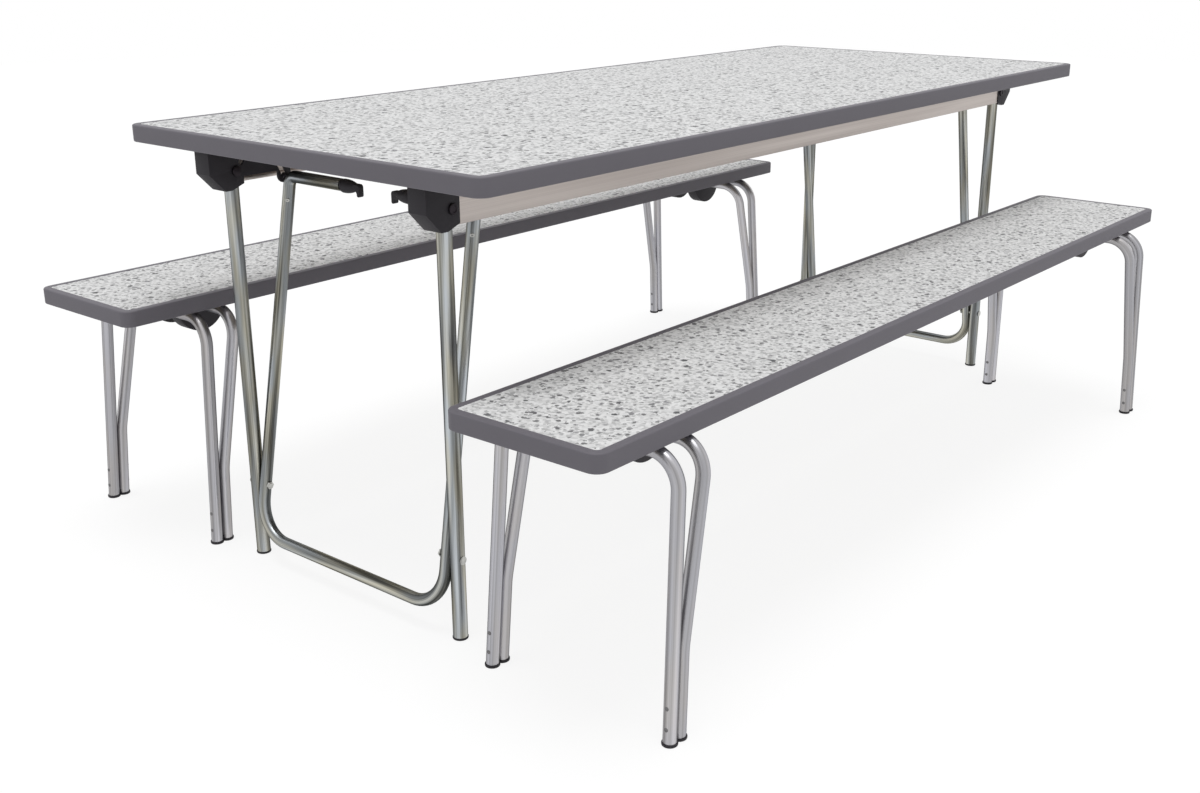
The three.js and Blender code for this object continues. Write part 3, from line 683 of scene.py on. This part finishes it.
for hand, side in HANDS.items():
    low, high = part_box(f"rail_{hand}")
    outside = high.y if side > 0 else -low.y
    flange, web, bead = outside - RAIL_FLANGE[0], outside - RAIL_WEB, outside - RAIL_BEAD[0]
    below_flange, above_bead = high.z - RAIL_FLANGE[1], low.z + RAIL_BEAD[1]
    points = [(outside, high.z), (flange, high.z), (flange, below_flange), (web, below_flange),
              (web, above_bead), (bead, above_bead), (bead, low.z), (outside, low.z)]
    section = rounded(points, RAIL_ROUNDS)
    rings = [[(x, side * y, z) for y, z in section] for x in (low.x, high.x)]
    put(loft(f"rail_{hand}_extrusion", rings), rail_metal, "table", "rail", f"rail_{hand}")
    print(f"rail {hand}: {high.x - low.x:.3f} m long")

# %% [markdown]
# The outline, leg slot and bolt slot of a bracket matter to the folding, so a copy of its solid is used,
# merged into flat faces. The foot of its latch plate is lifted a little, so that the bead of the rail shows
# below it, and then all sharp edges are rounded over.

# %% Brackets
BRACKET_ROUND = 0.0011
PLATE_DEPTH = 0.054
PLATE_LIFT = 0.006
SEAT_MARGIN = 0.001
SAME_PLACE = 1e-5
SAME_LEVEL = 0.0003


def softened_copy(node, plate_foot, seat_x):
    """A solid with rounded edges, and the foot of its plate lifted up to where the bolt's seat begins."""
    shell = bmesh.new()
    shell.from_mesh(frame["nodes"][node].data)
    bmesh.ops.remove_doubles(shell, verts=shell.verts, dist=SAME_PLACE)
    bmesh.ops.dissolve_limit(shell, angle_limit=math.radians(1), verts=shell.verts, edges=shell.edges)
    for corner in shell.verts:
        if abs(corner.co.z - plate_foot) < SAME_LEVEL and abs(corner.co.x) > seat_x:
            corner.co.z += PLATE_LIFT
    return rounded_over(shell, f"{node}_moulding", BRACKET_ROUND)


for end, hand in TABLE_CORNERS:
    name = f"bracket_{end}_{hand}"
    plate_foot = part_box(name)[1].z - PLATE_DEPTH
    seat_x = SEAT_MARGIN + max(abs(corner.x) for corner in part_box(f"latch_{end}_{hand}"))
    copy = softened_copy(name, plate_foot, seat_x)
    put(copy, black_plastic, "table", "black_moulding", name)
    print(f"{name}: {len(copy.polygons)} faces")

# %% [markdown]
# Every tube is a centre line swept with a circle. Geometry Nodes does this from a few edges whose corners
# carry a bend radius, and stores the tube attribute that the streaks follow.

# %% Geometry Nodes: bent tube
STREAK_STEP = 7.3


def named(tree, name, kind):
    return add_node(tree, "GeometryNodeInputNamedAttribute", {"Name": name}, data_type=kind)["Attribute"]


def capture(tree, geometry, kind, label, field):
    made = tree.nodes.new("GeometryNodeCaptureAttribute")
    made.capture_items.new(kind, label)
    fill(tree, made, "Geometry", geometry)
    fill(tree, made, label, field)
    return made.outputs["Geometry"], made.outputs[label]


def dressed(tree, geometry, finish):
    """The end of a tree: real geometry with its finish."""
    real = add_node(tree, "GeometryNodeRealizeInstances", {"Geometry": geometry})["Geometry"]
    return add_node(tree, "GeometryNodeSetMaterial", {"Geometry": real, "Material": finish})["Geometry"]


tree, given, result = new_group(
    "Bent tube",
    {"Centre line": GEOMETRY, "Radius": 0.01, "Sides": 32, "Bend steps": 14, "Finish": MATERIAL},
    {"Tube": GEOMETRY}, "GeometryNodeTree")
line = add_node(tree, "GeometryNodeMeshToCurve", {"Mesh": given["Centre line"]})["Curve"]
bend = named(tree, "bend", "FLOAT")
line = add_node(tree, "GeometryNodeFilletCurve",
                {"Curve": line, "Count": given["Bend steps"], "Radius": bend}, mode="POLY")["Curve"]
run = add_node(tree, "GeometryNodeSplineParameter")["Length"]
run = maths(tree, "ADD", run, named(tree, "start", "FLOAT"))
line, run = capture(tree, line, "FLOAT", "Run", run)
ring = add_node(tree, "GeometryNodeCurvePrimitiveCircle",
                {"Resolution": given["Sides"], "Radius": given["Radius"]})["Curve"]
around = add_node(tree, "GeometryNodeInputPosition")["Position"]
per_radius = maths(tree, "DIVIDE", 1.0, given["Radius"])
around = vector_maths(tree, "SCALE", around, per_radius, scale=True)
ring, around = capture(tree, ring, "VECTOR", "Around", around)
tube = add_node(tree, "GeometryNodeCurveToMesh",
                {"Curve": line, "Profile Curve": ring, "Fill Caps": True})["Mesh"]
around = add_node(tree, "ShaderNodeSeparateXYZ", {"Vector": around})
place = combined(tree, around["X"], around["Y"], run)
tube = add_node(tree, "GeometryNodeStoreNamedAttribute",
                {"Geometry": tube, "Name": "tube", "Value": place},
                data_type="FLOAT_VECTOR", domain="POINT")["Geometry"]
tree.links.new(dressed(tree, tube, given["Finish"]), result["Tube"])
bent_tube = tree


def grown(host, tree, values):
    """The host object with the tree's result as its plain mesh."""
    grower = host.modifiers.new("grower", "NODES")
    grower.node_group = tree
    names = {item.name: item.identifier for item in tree.interface.items_tree if item.in_out == "INPUT"}
    for label, value in values.items():
        grower[names[label]] = value
    layers = bpy.context.evaluated_depsgraph_get()
    mesh = bpy.data.meshes.new_from_object(host.evaluated_get(layers), preserve_all_data_layers=True,
                                           depsgraph=layers)
    host.modifiers.remove(grower)
    host.data = tidy_mesh(mesh)
    host.data.name = host.name
    return host


def bent_tubes(name, lines, radius, finish):
    """One mesh of tubes, from lines of corners and their bend radii."""
    corners = [corner for line in lines for corner, _ in line]
    bends = [bend for line in lines for _, bend in line]
    edges, first = [], 0
    for line in lines:
        edges += [(first + i, first + i + 1) for i in range(len(line) - 1)]
        first += len(line)
    mesh = bpy.data.meshes.new(name)
    mesh.from_pydata(corners, edges, [])
    starts = [STREAK_STEP * (len(bpy.data.meshes) + i) for i, line in enumerate(lines) for _ in line]
    mesh.attributes.new("bend", "FLOAT", "POINT").data.foreach_set("value", bends)
    mesh.attributes.new("start", "FLOAT", "POINT").data.foreach_set("value", starts)
    return grown(new_piece(mesh), bent_tube, {"Radius": radius, "Finish": finish})


print(f"bent tube: {len(bent_tube.nodes)} nodes")

# %% [markdown]
# The table legs are straight tubes that hang on the bracket pins. The two at one end move together.

# %% Table legs
LEG_RADIUS = 0.011

for end in ENDS:
    lines = []
    for hand in HANDS:
        low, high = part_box(f"leg_{end}_{hand}")
        middle = (low + high) / 2
        lines.append([(Vector((middle.x, middle.y, z)), 0.0) for z in (low.z, high.z)])
    legs = bent_tubes(f"legs_{end}_tubes", lines, LEG_RADIUS, zinc_tube)
    mount(legs, f"legs_{end}", "table_tube", f"leg_{end}_left", f"leg_{end}_right")
    print(f"legs {end}: {len(legs.data.polygons)} faces")

# %% [markdown]
# Each leg pair is braced by one long bent tube: a foot bar, two arms that lean in to the top, and two short
# latch tubes that point at each other.

# %% Stays
STAY_RADIUS = 0.0095
STAY_CLEARANCE = 0.0005
STAY_TIGHT_BEND = 0.014
STAY_WIDE_BEND = 0.060
STAY_TAPER = 0.009
LATCH_TUBE_END = 0.076
TRIGGER_RADIUS = 0.010
stay_tops = {}


def latch_axis(low, high):
    """A point on the axis of a latch, from its box."""
    return Vector(((low.x + high.x) / 2, 0, high.z - TRIGGER_RADIUS))


for end in ENDS:
    pivot = hinge_points[f"stay_{end}_turn"]
    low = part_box(f"stay_{end}")[0]
    top = latch_axis(*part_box(f"latch_{end}_left"))
    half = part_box(f"leg_{end}_left")[0].y - STAY_CLEARANCE - STAY_RADIUS
    lean = Vector((top.x - pivot.x, 0, top.z - pivot.z))

    def arm(side, share):
        across = side * (half - STAY_TAPER * share)
        return Vector((pivot.x + lean.x * share, across, pivot.z + lean.z * share))

    foot = (low.z + STAY_RADIUS - pivot.z) / lean.z
    corners = [(Vector((top.x, -LATCH_TUBE_END, top.z)), 0.0), (arm(-1, 1), STAY_TIGHT_BEND),
               (arm(-1, foot), STAY_WIDE_BEND), (arm(1, foot), STAY_WIDE_BEND),
               (arm(1, 1), STAY_TIGHT_BEND), (Vector((top.x, LATCH_TUBE_END, top.z)), 0.0)]
    stay = bent_tubes(f"stay_{end}_tube", [corners], STAY_RADIUS, zinc_tube)
    mount(stay, f"stay_{end}_body", "table_tube", f"stay_{end}")
    stay_tops[end] = [(arm(side, 1), (arm(side, 0) - arm(side, 1)).normalized()) for side in HANDS.values()]
    print(f"stay {end}: leans {math.degrees(math.atan2(abs(lean.x), lean.z)):.1f} degrees")

# %% [markdown]
# A bench stands on two Y frames. In each, two bent tubes run side by side up from the feet and then part,
# and the crossbar of the inner one is the hinge under the seat. Both fold together, so they are one mesh.

# %% Bench frames
BENCH_TUBE_RADIUS = 0.0095
BENCH_BEND = 0.045
BENCH_FOOT_LEVEL = 0.0028
FRAME_SPLAY = 0.010
PART_HEIGHT = 0.125
PART_BEND = 0.120
HINGE_REACH = 0.056
PAD_ROUND = 0.011
bench_feet = {}
bench_lines = {}

for bench, end in BENCH_ENDS:
    way = ENDS[end]
    hinge = hinge_points[f"{bench}_legs_{end}_fold"]
    pads = [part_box(f"{bench}_foot_{end}_{hand}") for hand in ("right", "left")]
    outer_x, inner_x = (pads[0][1].x - PAD_ROUND, pads[0][0].x + PAD_ROUND)[::way]
    sides = [(low.y + high.y) / 2 for low, high in pads]
    beside = Vector((inner_x - outer_x, 0, 0))
    outer, inner = [], []
    for y, side in zip(sides, (-1, 1)):
        foot = Vector((outer_x, y, BENCH_FOOT_LEVEL))
        top = Vector((hinge.x + way * HINGE_REACH, y - side * FRAME_SPLAY, hinge.z))
        parting = foot.lerp(top, (PART_HEIGHT - foot.z) / (top.z - foot.z))
        outer.append([(foot, 0.0), (top, BENCH_BEND)])
        inner.append([(foot + beside, 0.0), (parting + beside, PART_BEND),
                      (Vector((hinge.x, top.y, top.z)), BENCH_BEND)])
    lines = [legs[0] + legs[1][::-1] for legs in (outer, inner)]
    frames = bent_tubes(f"{bench}_frames_{end}", lines, BENCH_TUBE_RADIUS, bright_tube)
    nodes = [f"{bench}_{which}_frame_{end}" for which in ("outer", "inner")]
    mount(frames, f"{bench}_legs_{end}", "bench_tube", *nodes)
    bench_feet[bench, end] = (outer_x, inner_x, sides)
    bench_lines[bench, end] = lines
    print(f"{bench} {end}: feet {abs(outer_x - inner_x) * 1000:.1f} mm apart")

# %% [markdown]
# The table legs end in black plug feet with a rounded heel. The bench legs share one pad for each pair of
# tubes, two discs that run into each other, with a web in the valley between the tubes. One profile gives
# the insets and heights of the rings of both.

# %% Feet
FOOT_RADIUS = 0.01175
FOOT_PROFILE = [(0.0014, 0.0), (0.0005, 0.0005), (0.0, 0.0014),
                (0.0, 0.0034), (0.0004, 0.0039), (0.0008, 0.0041)]
WEB_CLEARANCE = 0.00015
WEB_FOOT = 0.0036
WEB_TOP = 0.0095
WEB_RISES = [0.0015 + 0.0030 * i / 7 for i in range(8)]


def pad_ring(a, b, y, radius, z):
    """The outline of two discs along X that run into each other at a waist."""
    waist = math.degrees(math.acos(abs(a - b) / 2 / radius))
    turn = 360 - 2 * waist
    ends = ((max(a, b), waist - 180), (min(a, b), waist))
    return [(x, across, z) for centre, start in ends
            for x, across in list(arc((centre, y), radius, start, start + turn, steps=24))[:-1]]


def web_between(a, b, y, side):
    """The outline of the valley between two tubes that stand close, on one side."""
    reach = BENCH_TUBE_RADIUS + WEB_CLEARANCE
    skin = [(math.sqrt(reach ** 2 - rise ** 2), y + side * rise) for rise in WEB_RISES]
    left = [(min(a, b) + x, across) for x, across in skin]
    return left + [(max(a, b) - x, across) for x, across in reversed(skin)]


for end, hand in TABLE_CORNERS:
    node = f"leg_foot_{end}_{hand}"
    low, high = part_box(node)
    middle = (low + high) / 2
    plug = turned(f"{node}_plug", stepped(FOOT_RADIUS, 0, FOOT_PROFILE), (middle.x, middle.y, low.z))
    put(plug, black_plastic, f"legs_{end}", "black_moulding", node)
for (bench, end), (outer_x, inner_x, sides) in bench_feet.items():
    for hand, y in zip(("right", "left"), sides):
        node = f"{bench}_foot_{end}_{hand}"
        rings = [pad_ring(outer_x, inner_x, y, PAD_ROUND - inset / 2, z) for inset, z in FOOT_PROFILE]
        shells = [loft("pad", rings)]
        for side in (-1, 1):
            outline = web_between(outer_x, inner_x, y, side)
            rings = [[(x, across, z) for x, across in outline] for z in (WEB_FOOT, WEB_TOP)]
            shells.append(loft("web", rings))
        put(joined(f"{node}_pad", shells), black_plastic, f"{bench}_legs_{end}", "black_moulding", node)
print(f"{len(TABLE_CORNERS) + 2 * len(BENCH_ENDS)} feet")

# %% [markdown]
# Pins and bolts are turned parts. The leg pins show a low black head with a ring outside each bracket. The
# stay bolts have a flat plated head outside the leg and a hexagon nut inside the stay. Each edge is a list
# of insets from a radius and depths from a face.

# %% Pivot pins and stay bolts
PIN_RADIUS = 0.004
HEAD_RADIUS = 0.008
HEAD_EDGE = [(0.0012, 0.0), (0.0003, 0.0004), (0.0, 0.0012), (0.0, 0.0028)]
HEAD_RING = [(0.0030, 0.0), (0.0036, 0.0009), (0.0068, 0.0007)]
BOLT_TIP = [(0.0006, 0.0), (0.0, 0.0006)]
BOLT_HEAD_RADIUS = 0.0065
BOLT_HEAD_EDGE = [(0.0002, 0.0015), (0.0, 0.0010), (0.0010, 0.0003), (0.0030, 0.0), (0.0053, -0.0001)]
NUT_RADIUS = 0.0065
NUT_EDGE = [(0.0008, 0.0), (0.0, 0.0006), (0.0, 0.0026), (0.0004, 0.0030)]
NUT_START = 0.001


def crosswise(node):
    """The place of a crosswise solid, and how far its two ends are from the middle of the table."""
    low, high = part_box(node)
    middle = (low + high) / 2
    inner, outer = sorted((abs(low.y), abs(high.y)))
    return (middle.x, 0, middle.z), inner, outer


for end, hand in TABLE_CORNERS:
    outward = (0, HANDS[hand], 0)
    node = f"leg_pin_{end}_{hand}"
    place, inner, outer = crosswise(node)
    inner_head = stepped(HEAD_RADIUS, inner, HEAD_EDGE)
    outer_head = stepped(HEAD_RADIUS, outer, HEAD_EDGE[::-1], -1)
    shank = [(PIN_RADIUS, inner_head[-1][1]), (PIN_RADIUS, outer_head[0][1])]
    profile = inner_head + shank + outer_head + stepped(HEAD_RADIUS, outer, HEAD_RING, -1)
    put(turned(f"{node}_rivet", profile, place, outward), black_pin, "table", "fastener", node)

    node = f"stay_bolt_{end}_{hand}"
    place, inner, outer = crosswise(node)
    head = stepped(BOLT_HEAD_RADIUS, outer, BOLT_HEAD_EDGE, -1)
    profile = stepped(PIN_RADIUS, inner, BOLT_TIP) + [(PIN_RADIUS, head[0][1])] + head
    bolt = turned("bolt", profile, place, outward)
    nut = turned("nut", stepped(NUT_RADIUS, inner + NUT_START, NUT_EDGE), place, outward, sides=6)
    put(joined(f"{node}_and_nut", [bolt, nut]), bright_fastener, f"legs_{end}", "fastener", node)
print(f"{len(TABLE_CORNERS)} pins and as many bolts")

# %% [markdown]
# A latch trigger is a black barrel on a rod, with a finger hook to squeeze towards its twin. The barrel is
# turned, with a fuller belly, the hook is a side outline given a width, and a Boolean joins them.

# %% Latch triggers
TRIGGER_START = 0.007
TRIGGER_LENGTH = 0.033
BARREL_SWELL = 0.027
BARREL_ANGLES = (24, 34, 44, 54, 64, 74, 84, 90)
BARREL_END = [(0.0, 0.003), (0.0004, 0.0012), (0.0014, 0.0003), (0.002, 0.0)]
ROD_TIP = [(0.0, 0.0012), (0.001, 0.0)]
BELLY = 1.14
HOOK_WIDTH = 0.010
HOOK_THICK = 0.0055
HOOK_FLARE = 0.0006
HOOK_ROOT = 0.010
HOOK_TOP = 0.005
HOOK_ELBOW = -0.004
HOOK_BOTTOM = -0.006
HOOK_ROUNDS = (0.0015, 0.0045, 0.0027, 0.0027, 0.0055, 0.0015)
FINGER_TIP = 0.0025
MOULD_ROUND = 0.0012


def side_block(name, outline, place, low, high, bevel):
    """An outline in a side view given a width, with its sharp edges rounded."""
    shell = bmesh.new()
    shell.from_mesh(loft(name, [[place(across, u, v) for u, v in outline] for across in (low, high)]))
    return rounded_over(shell, name, bevel)


def united(name, meshes, finish):
    """One skin round several closed shells."""
    meshes[0].name = name
    whole, *tools = [new_piece(mesh, finish) for mesh in meshes]
    for tool in tools:
        union = whole.modifiers.new("union", "BOOLEAN")
        union.operation = "UNION"
        union.solver = "EXACT"
        union.object = tool
    layers = bpy.context.evaluated_depsgraph_get()
    mesh = bpy.data.meshes.new_from_object(whole.evaluated_get(layers))
    whole.modifiers.clear()
    for tool in tools:
        bpy.data.objects.remove(tool)
    mesh.materials.clear()
    mesh.materials.append(finish)
    whole.data = tidy_mesh(mesh)
    return whole


for end, hand in TABLE_CORNERS:
    name = f"latch_{end}_{hand}"
    side = HANDS[hand]
    low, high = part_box(name)
    axis = latch_axis(low, high)
    tip, rod_end = sorted((abs(low.y), abs(high.y)))
    start, stop = tip + TRIGGER_START, tip + TRIGGER_START + TRIGGER_LENGTH
    angles = [math.radians(angle) for angle in BARREL_ANGLES]
    profile = [(TRIGGER_RADIUS * math.sin(a), start + BARREL_SWELL * (1 - math.cos(a))) for a in angles]
    profile += stepped(TRIGGER_RADIUS, stop, BARREL_END, -1)
    profile += [(PIN_RADIUS, stop)] + stepped(PIN_RADIUS, rod_end, ROD_TIP, -1)
    barrel = turned("barrel", profile, axis, (0, side, 0))
    for corner in barrel.vertices:
        if corner.co.z < axis.z and abs(corner.co.y) < stop:
            corner.co.z = axis.z + (corner.co.z - axis.z) * BELLY

    reach = axis.z - low.z + FINGER_TIP
    root, back = start + HOOK_ROOT, tip + HOOK_THICK
    points = [(root, HOOK_TOP), (tip, HOOK_TOP), (tip, -reach), (back, -reach),
              (back + HOOK_FLARE, HOOK_ELBOW), (root, HOOK_BOTTOM)]
    outline = rounded(points, HOOK_ROUNDS, steps=5)
    hook = side_block("hook", outline, lambda x, y, z: (axis.x + x, side * y, axis.z + z),
                      -HOOK_WIDTH / 2, HOOK_WIDTH / 2, MOULD_ROUND)
    trigger = united(f"{name}_trigger", [barrel, hook], black_plastic)
    mount(trigger, f"{name}_body", "black_moulding", name)
    print(f"{name}: {len(trigger.data.polygons)} faces")

# %% [markdown]
# Under each bench end, two lobes joined by two screw strips hold the hinge crossbar. The outer crossbar runs
# round their rims as the legs fold, so the lobes are true half discs round the hinge point.

# %% Bench hinge blocks
LOBE_THROAT = 0.0099
LOBE_WIDTH = 0.028
LOBE_MIDDLE = 0.039
STRIP_THICK = 0.004
STRIP_GAP = 0.001
STRIP_INSET = 0.002
STRIP_SINK = 0.0002
STRIP_ROUND = 0.0006

for bench, end in BENCH_ENDS:
    name = f"{bench}_hinge_{end}"
    hinge = hinge_points[f"{bench}_legs_{end}_fold"]
    low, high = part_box(name)
    middle_y = (low.y + high.y) / 2
    rim = hinge.z - low.z
    rise = high.z - hinge.z
    lift = math.degrees(math.asin(rise / rim))
    outline = list(arc((0, 0), rim, 180 - lift, 360 + lift, steps=44)) + [(LOBE_THROAT, rise)]
    outline += list(arc((0, 0), LOBE_THROAT, 0, -180, steps=20)) + [(-LOBE_THROAT, rise)]

    def below(y, x, z):
        return (hinge.x + x, y, hinge.z + z)

    lobes = [middle_y - LOBE_MIDDLE, middle_y + LOBE_MIDDLE]
    meshes = [side_block("lobe", outline, below, y - LOBE_WIDTH / 2, y + LOBE_WIDTH / 2, MOULD_ROUND)
              for y in lobes]
    edge = rim * math.cos(math.radians(lift)) - STRIP_INSET
    for side in (-1, 1):
        near, far = side * (LOBE_THROAT + STRIP_GAP), side * edge
        strip = [(near, rise - STRIP_THICK), (far, rise - STRIP_THICK),
                 (far, rise - STRIP_SINK), (near, rise - STRIP_SINK)]
        meshes.append(side_block("strip", strip, below, *lobes, STRIP_ROUND))
    mount(united(f"{name}_block", meshes, black_plastic), bench, "black_moulding", name)
    print(f"{name}: rim {rim * 1000:.1f} mm")

# %% [markdown]
# Rivets and screws repeat, so Geometry Nodes sets one head on every marked point and turns it to the way
# the point faces. A head is drawn with a diameter and height of 1, and scaled to its size.

# %% Geometry Nodes: fasteners
RIVET_SHAPE = [(0.50, -0.6), (0.50, 0.25), (0.46, 0.55), (0.38, 0.85),
               (0.27, 1.0), (0.21, 0.9), (0.17, 0.35), (0.05, 0.3)]
SCREW_SHAPE = [(0.50, -0.4), (0.50, 0.35), (0.46, 0.65), (0.38, 0.9),
               (0.25, 1.0), (0.16, 1.0), (0.13, 0.5), (0.03, 0.45)]

fasteners, given, result = new_group(
    "Fasteners",
    {"Points": GEOMETRY, "Head": OBJECT, "Diameter": 0.006, "Height": 0.001, "Finish": MATERIAL},
    {"Heads": GEOMETRY}, "GeometryNodeTree")
head = add_node(fasteners, "GeometryNodeObjectInfo", {"Object": given["Head"]})["Geometry"]
turn = add_node(fasteners, "FunctionNodeAlignRotationToVector",
                {"Vector": named(fasteners, "facing", "FLOAT_VECTOR")}, axis="Z")["Rotation"]
size = combined(fasteners, given["Diameter"], given["Diameter"], given["Height"])
heads = add_node(fasteners, "GeometryNodeInstanceOnPoints",
                 {"Points": given["Points"], "Instance": head, "Rotation": turn, "Scale": size})
heads = dressed(fasteners, heads["Instances"], given["Finish"])
fasteners.links.new(heads, result["Heads"])

rivet_head = new_piece(turned("rivet_head", RIVET_SHAPE, (0, 0, 0), sides=20))
screw_head = new_piece(turned("screw_head", SCREW_SHAPE, (0, 0, 0), sides=20))


def fastened(name, spots, head, size, body, finish=zinc_fastener):
    """Heads on one body, from their places and the ways they face. A size is diameter and height."""
    mesh = bpy.data.meshes.new(name)
    mesh.from_pydata([spot for spot, _ in spots], [], [])
    facing = mesh.attributes.new("facing", "FLOAT_VECTOR", "POINT")
    facing.data.foreach_set("vector", [number for _, way in spots for number in way])
    values = {"Head": head, "Diameter": size[0], "Height": size[1], "Finish": finish}
    mount(grown(new_piece(mesh), fasteners, values), body, "fastener")
    print(f"{name}: {len(spots)}")


print(f"fasteners: {len(fasteners.nodes)} nodes")

# %% [markdown]
# Rivets hold the bench legs together above the feet, two to a leg, on the outer face of the outer tubes and
# the inner face of the inner ones. Pins cross the stay arms, and screws hold the rails and hinge blocks.

# %% Rivets, pins and screws
DOWN = (0, 0, -1)
RIVET_SIZE = (0.0062, 0.0008)
RIVET_LEVELS = (0.024, 0.053)
RIVET_SINK = 0.0002
HINGE_SCREW_SIZE = (0.0085, 0.0022)
HINGE_SCREWS = [(x, y) for x in (-0.027, 0.027) for y in (-0.018, 0.018)]
STAY_PIN_SIZE = (0.0066, 0.0009)
STAY_PIN_FACING = (0.74, 0.67, 0.0)
STAY_PIN_SINK = 0.0003
PIN_BELOW_TOP = 0.036
RAIL_SCREW_SIZE = (0.0095, 0.0026)
RAIL_SCREWS = 6
RAIL_SCREW_INSET = 0.06
RAIL_SCREW_LINE = 0.0145

for (bench, end), lines in bench_lines.items():
    spots = []
    for corners, face in zip(lines, (ENDS[end], -ENDS[end])):
        out = Vector((face * (BENCH_TUBE_RADIUS - RIVET_SINK), 0, 0))
        for (foot, _), (above, _) in (corners[:2], corners[:-3:-1]):
            for z in RIVET_LEVELS:
                spot = foot.lerp(above, (z - foot.z) / (above.z - foot.z))
                spots.append((spot + out, (face, 0, 0)))
    fastened(f"{bench}_rivets_{end}", spots, rivet_head, RIVET_SIZE, f"{bench}_legs_{end}")
    hinge = hinge_points[f"{bench}_legs_{end}_fold"]
    low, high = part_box(f"{bench}_hinge_{end}")
    middle_y = (low.y + high.y) / 2
    spots = [((hinge.x + x, middle_y + y, high.z - STRIP_THICK), DOWN) for x, y in HINGE_SCREWS]
    fastened(f"{bench}_hinge_screws_{end}", spots, screw_head, HINGE_SCREW_SIZE, bench)
for end, way in ENDS.items():
    facing = (way * Vector(STAY_PIN_FACING)).normalized()
    out = facing * (STAY_RADIUS - STAY_PIN_SINK)
    spots = [(top + down * PIN_BELOW_TOP + out, facing) for top, down in stay_tops[end]]
    fastened(f"stay_{end}_pins", spots, rivet_head, STAY_PIN_SIZE, f"stay_{end}_body", bright_fastener)
spots = []
for hand, side in HANDS.items():
    low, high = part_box(f"rail_{hand}")
    line_y = side * (max(abs(low.y), abs(high.y)) - RAIL_SCREW_LINE)
    for i in range(RAIL_SCREWS):
        step = (high.x - low.x - 2 * RAIL_SCREW_INSET) * i / (RAIL_SCREWS - 1)
        spots.append(((low.x + RAIL_SCREW_INSET + step, line_y, high.z - RAIL_FLANGE[1]), DOWN))
fastened("rail_screws", spots, screw_head, RAIL_SCREW_SIZE, "table")
bpy.data.objects.remove(rivet_head)
bpy.data.objects.remove(screw_head)

# %% [markdown]
# Last, both boxes are gathered and the box of the dressed set is printed, so that the dressed set can be
# compared with the solids it stands for.

# %% Sizes and finish
size = {"cad": [list(corner) for corner in cad_box], "visual": [list(corner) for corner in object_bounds()]}
print("visual box", [round(value, 4) for corner in size["visual"] for value in corner])
